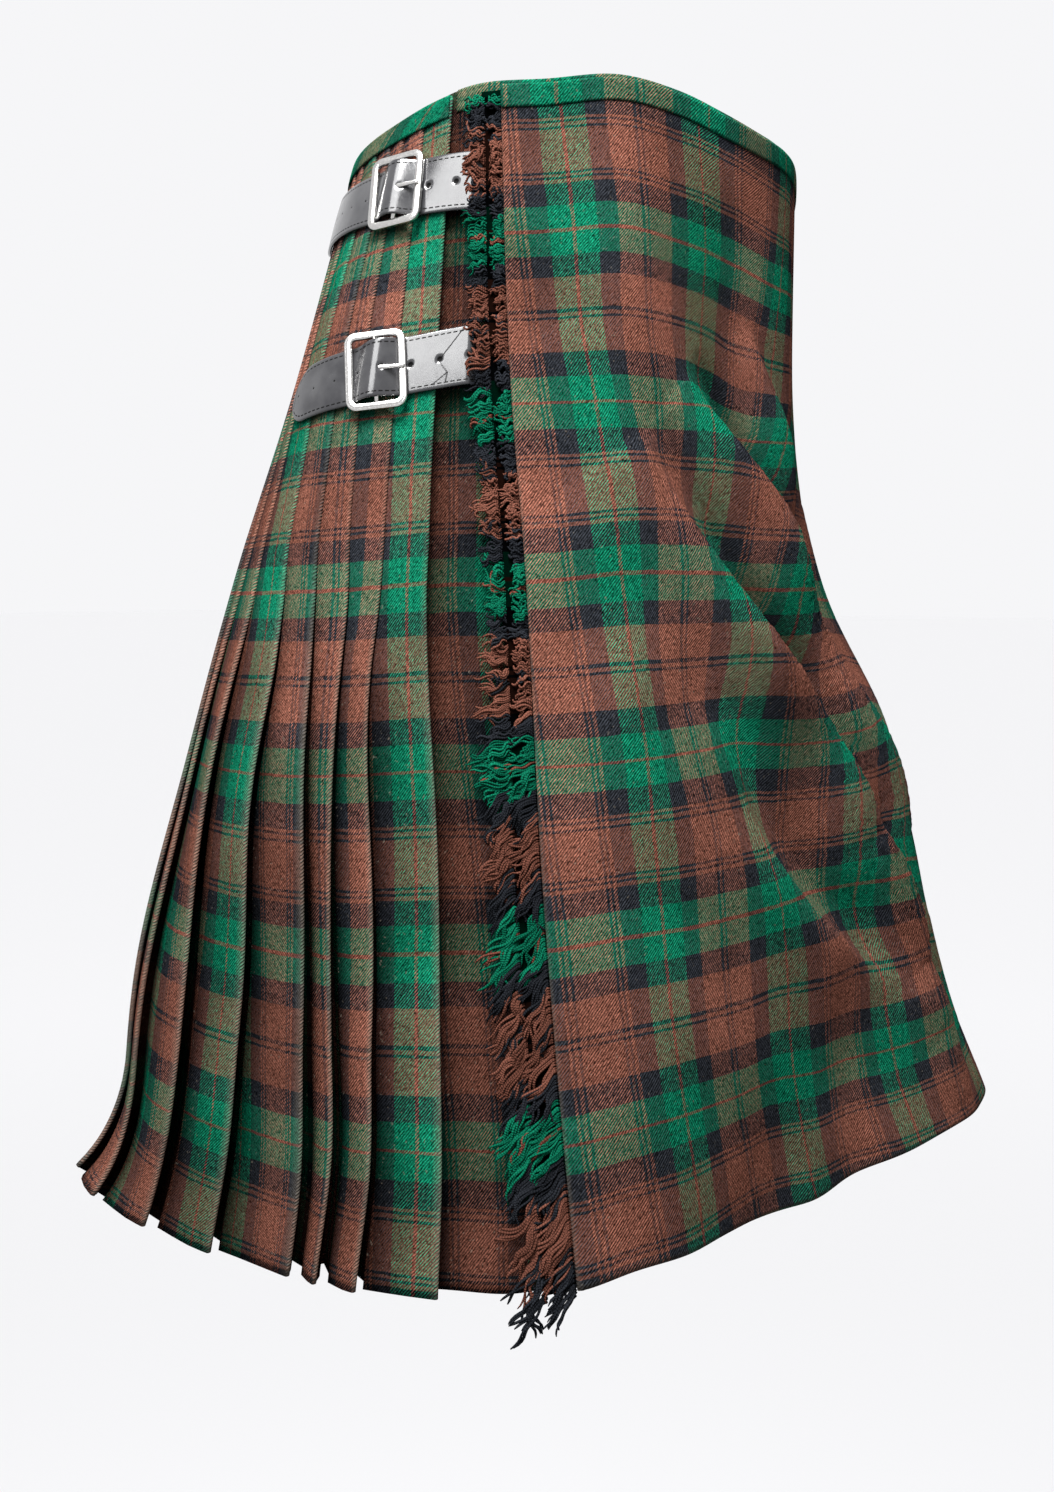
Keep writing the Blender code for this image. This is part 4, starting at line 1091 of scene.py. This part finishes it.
def leather_strap(name, root, buckle, tip, creases):
    """A strap with a crowned face, a round tip, holes and creases; its finish paints holes and
    creases dark as shade.
    """
    stations, run = strap_course(root, buckle, tip)
    share_across, share_up = strap_outline().T
    half = STRAP_WIDTH / 2
    rings, places, rims = [], [], []
    for (az, drop, out), at in zip(stations, run):
        left = run[-1] - at
        rounded = half * max(sqrt(max(1 - (1 - left / half)**2, 0)), TIP_SHARE)
        wide = half if left >= half else rounded
        across = share_across * wide
        up = share_up * STRAP_THICK / 2
        crown = CROWN * (1 - (across / half)**2)
        beside = ((at - FIRST_HOLE) / HOLE_PITCH + 0.5) % 1.0 - 0.5
        radius, deep = ((HOLE_RADIUS, HOLE_DEEP) if at < 0.002
                        else (HOLE_RADIUS / PRICK_SHARE, PRICK_DEEP))
        punched = deep * bell(across**2 + (beside * HOLE_PITCH)**2, 0, radius**2) * (up > 0)
        rings.append(place(PLAIN, np.full(len(up), az), drop + across,
                           -(out + up + crown - punched)))
        places.append([(at, x) for x in across])
        rims.append(np.minimum(wide - np.abs(across), left))
    mesh = tube_mesh(name, (rings, False))
    spots = np.array(places).reshape(-1, 2)
    near = np.full(len(spots), 1.0)
    for start, end in creases:
        near = np.minimum(near, apart_from(spots, start, end))
    give_cut(mesh, spots)
    give_number(mesh, "rim", np.array(rims))
    give_number(mesh, "crease", bell(near, 0, CREASE_WIDTH))
    return new_piece(name, mesh, leather)


for strap_name, root, buckle, tip in STRAPS:
    strap = leather_strap("leather_strap_" + strap_name, root, buckle, tip,
                          CREASES.get(strap_name, ()))
    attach(strap, "root")
    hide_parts("strap_" + strap_name)

# ==== Chapes ==================================================================
# A short loop of the same leather round each buckle's bar, sewn to the pleats,
# so that the buckle can't slide.
BAR_HEIGHT = 0.0048
BAR_RADIUS = 0.0013
CHAPE_REACH = 0.0085      # from the bar to where it is sewn down, each way
CHAPE_WIDTH = 0.0150
CHAPE_THICK = 0.0010
CHAPE_LOW = 0.00145
CHAPE_OUTLINE = np.array(((-1, -0.7), (-1, 0.7), (-0.93, 1), (0.93, 1), (1, 0.7), (1, -0.7),
                          (0.93, -1), (-0.93, -1)))
BETWEEN_HOLES = FIRST_HOLE + 0.5 * HOLE_PITCH
for strap_name, root, buckle, tip in STRAPS:
    seat = place(PLAIN, np.array([buckle[0]]), buckle[1], np.array([0.0]))[0]
    spread = degrees(CHAPE_REACH / np.linalg.norm(seat[:2]))
    over_bar = BAR_HEIGHT + BAR_RADIUS + SEAM_GAP + CHAPE_THICK / 2
    across = CHAPE_OUTLINE[:, 0] * CHAPE_WIDTH / 2
    up = CHAPE_OUTLINE[:, 1] * CHAPE_THICK / 2
    rings = []
    for t in np.linspace(-1.15, 1.15, 41):
        out = hump(t * CHAPE_REACH, CHAPE_REACH, CHAPE_LOW, over_bar)
        rings.append(place(PLAIN, np.full(len(up), buckle[0] + spread * t),
                           buckle[1] + across, -(out + up)))
    mesh = tube_mesh("chape", (rings, False), soft=False)
    give_cut(mesh, np.full(2 * len(mesh.vertices), BETWEEN_HOLES))
    chape = new_piece("leather_chape_" + strap_name, mesh, leather)
    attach(chape, "root")
    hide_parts("chape_" + strap_name)

# ==== Buckles =================================================================
# Nickel-plated cast frames, 42.5 by 33 mm, with a flat face, round corners and
# a centre bar whose ends show as small pins.  The tongue pivots on the bar and
# rests on the rail nearer the apron.
BUCKLE_WIDTH = 0.033
BUCKLE_HEIGHT = 0.0425
BUCKLE_BAND = 0.0041
BUCKLE_THICK = 0.0030
BUCKLE_CORNER = 0.0062
BUCKLE_TURN = 0.09        # the lower buckle sits a little askew on its strap
FRAME_OUTLINE = np.array((      # shares of the band's half width and half thickness
    (-1, -0.7), (-0.8, -1), (0.8, -1), (1, -0.7), (1, 0.30), (0.90, 0.62), (0.62, 0.86),
    (0.45, 0.80), (0.30, 1), (-0.55, 1), (-0.86, 0.78), (-1, 0.35),
))
BAR_END = 0.0015          # the bar stops this far from the frame's outer edge
TONGUE_START = 0.0010     # past the bar's middle
TONGUE_HEIGHT = 0.0080
TONGUE_FALL = 0.0007
TONGUE_RADIUS = 0.00118
ROUND = np.array([(cos(2 * pi * k / 14), sin(2 * pi * k / 14)) for k in range(14)])


def nickel_plate(name):
    """Bright plating, a little dulled by wear."""
    made, tree, shader, spot = new_material(name)
    rub = spot.noise(900.0, 4.0)
    fit(shader, {
        "Base Color": rub.mix((0.50, 0.49, 0.48, 1), (0.64, 0.63, 0.61, 1)),
        "Roughness": rub.ranged(0.3, 0.8, 0.14, 0.30),
        "Normal": rub.bump(0.10, 0.0001),
        "Metallic": 1.0,
    })
    return made


nickel = nickel_plate("nickel_plate")


def seat_matrix(root, buckle, tip):
    """Axes at a buckle's bar: X along the strap to the wearer's left, Y up the cloth, Z out."""
    az, drop = buckle
    near = np.array([az, az + 3.0, az - 3.0])
    here = place(PLAIN, near, np.array([strap_drop(a, root, buckle, tip) for a in near]),
                 np.zeros(3))
    askew = BUCKLE_TURN * np.linalg.norm(here[1] - here[0]) * (drop > 0.1)
    here[1:, 2] += np.array((-1, 1)) * askew
    along = Vector(here[1] - here[2]).normalized()
    lower = place(PLAIN, np.array([az]), drop + 0.02, np.zeros(1))[0]
    up = Vector(here[0] - lower).normalized()
    out = along.cross(up).normalized()
    up = out.cross(along)
    turned = Matrix((along, up, out)).transposed().to_4x4()
    turned.translation = Vector(here[0])
    return turned


def ring_at(spot, across, up):
    """A ring round a spot, across along one axis and up along another, for 14 points."""
    return np.array(spot) + np.outer(ROUND[:, 0], across) + np.outer(ROUND[:, 1], up)


def buckle_mesh():
    """The frame, carried round its four corners, and the bar."""
    half, high = FRAME_OUTLINE.T * ((BUCKLE_BAND / 2,), (BUCKLE_THICK / 2,))
    band = []
    for side, end, start in ((1, 1, 0), (-1, 1, 90), (-1, -1, 180), (1, -1, 270)):
        middle = np.array((side * (BUCKLE_WIDTH / 2 - BUCKLE_CORNER),
                           end * (BUCKLE_HEIGHT / 2 - BUCKLE_CORNER), 0))
        for turn in range(0, 91, 9):
            outward = np.array((cos(radians(start + turn)), sin(radians(start + turn)), 0))
            spot = middle + (BUCKLE_CORNER - BUCKLE_BAND / 2) * outward
            band.append(spot + np.outer(half, outward) + np.outer(high, (0, 0, 1)))
    bar_end = BUCKLE_HEIGHT / 2 - BAR_END
    bar = [ring_at((0, y, 0), (BAR_RADIUS, 0, 0), (0, 0, BAR_RADIUS)) for y in (-bar_end, bar_end)]
    return tube_mesh("buckle", (band, True), (bar, False))


def tongue_mesh(toward):
    """A round tongue from the bar to the rail that it rests on, thinner at its tip."""
    rings = []
    for t in np.linspace(0, 1, 14):
        radius = TONGUE_RADIUS * (1 - 0.30 * t) * min(1.0, 0.35 + 6 * t) * (0.55 if t > 0.95 else 1)
        x = (TONGUE_START + (BUCKLE_WIDTH / 2 - TONGUE_START) * t) * toward
        rings.append(ring_at((x, 0, TONGUE_HEIGHT - TONGUE_FALL * t), (0, 1.15 * radius, 0),
                             (0, 0, radius)))
    return tube_mesh("tongue", (rings, False))


for strap_name, root, buckle, tip in STRAPS:
    seat = seat_matrix(root, buckle, tip)
    for made_name, node, mesh, lifted in (
            ("nickel_buckle_", "buckle_", buckle_mesh(), BAR_HEIGHT),
            ("buckle_tongue_", "prong_", tongue_mesh(1 if root[0] > buckle[0] else -1), 0.0)):
        mesh.transform(seat @ Matrix.Translation((0, 0, lifted)))
        piece = new_piece(made_name + strap_name, mesh, nickel)
        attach(piece, "root")
        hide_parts(node + strap_name)

# ==== Setting =================================================================
# A plain pale floor far below the hem, two soft boxes high on the wearer's
# right, and a level camera a little below the waist.
FLOOR_Z = -6.0
FLOOR_REACH = 250.0
FLOOR_NEAR, FLOOR_FAR = (0.850, 0.850, 0.853, 1), (0.985, 0.985, 0.987, 1)
SKY = (0.921, 0.921, 0.936, 1)
work = bmesh.new()
bmesh.ops.create_grid(work, x_segments=2, y_segments=2, size=FLOOR_REACH)
floor_mesh = bpy.data.meshes.new("pale_floor")
work.to_mesh(floor_mesh)
work.free()
pale, pale_tree, pale_shader, floor_spot = new_material("pale_floor")
off_centre = wire(pale_tree, "VectorMath", {0: floor_spot}, "Value", operation="LENGTH")
far_off = off_centre.ranged(6.0, 19.0, 0.0, 1.0, interpolation_type="SMOOTHSTEP")
fit(pale_shader, {"Base Color": far_off.mix(FLOOR_NEAR, FLOOR_FAR), "Roughness": 0.9})
floor = new_piece("pale_floor", floor_mesh, pale)
floor.location.z = FLOOR_Z

world = bpy.data.worlds.new("soft_daylight")
world.use_nodes = True
fit(world.node_tree.nodes["Background"], {0: SKY, 1: 1.0})
bpy.context.scene.world = world
bpy.context.scene.view_settings.view_transform = "Standard"

SOFT_BOXES = (            # azimuth, elevation, distance, size, power
    (-64, 58, 2.2, 0.8, 350.0),
    (-82, 36, 1.9, 1.1, 62.0),
)
AIM = Vector((0, 0, -0.25))
for k, (az, elevation, distance, size, power) in enumerate(SOFT_BOXES):
    lamp = bpy.data.lights.new("soft_box_%d" % k, "AREA")
    lamp.shape = "SQUARE"
    lamp.size = size
    lamp.energy = power
    box = bpy.data.objects.new("soft_box_%d" % k, lamp)
    a, e = radians(az), radians(elevation)
    box.location = AIM + Vector((sin(a) * cos(e), -cos(a) * cos(e), sin(e))) * distance
    box.rotation_euler = (AIM - box.location).to_track_quat("-Z", "Y").to_euler()
    bpy.context.scene.collection.objects.link(box)

CAMERA_AZ = radians(-56)
FRAME_TALL = 1492         # height of the frame in pixels, for the next two values
FOCAL_LENGTH = 1328.08
HORIZON = 586.82          # the camera is level and its horizon is on this row
SENSOR = 36.0
CAMERA_BACK, CAMERA_LEFT, CAMERA_HEIGHT = 0.8467, 0.0340, -0.2594
lens = bpy.data.cameras.new("camera")
lens.sensor_width = SENSOR
lens.lens = FOCAL_LENGTH / FRAME_TALL * SENSOR
lens.shift_y = -(FRAME_TALL / 2 - HORIZON) / FRAME_TALL
camera = bpy.data.objects.new("camera", lens)
behind = Vector((sin(CAMERA_AZ), -cos(CAMERA_AZ), 0))
rightward = Vector((cos(CAMERA_AZ), sin(CAMERA_AZ), 0))
camera.location = (behind * CAMERA_BACK - rightward * CAMERA_LEFT
                   + Vector((0, 0, CAMERA_HEIGHT)))
camera.rotation_euler = (pi / 2, 0, CAMERA_AZ)
bpy.context.scene.collection.objects.link(camera)
bpy.context.scene.camera = camera
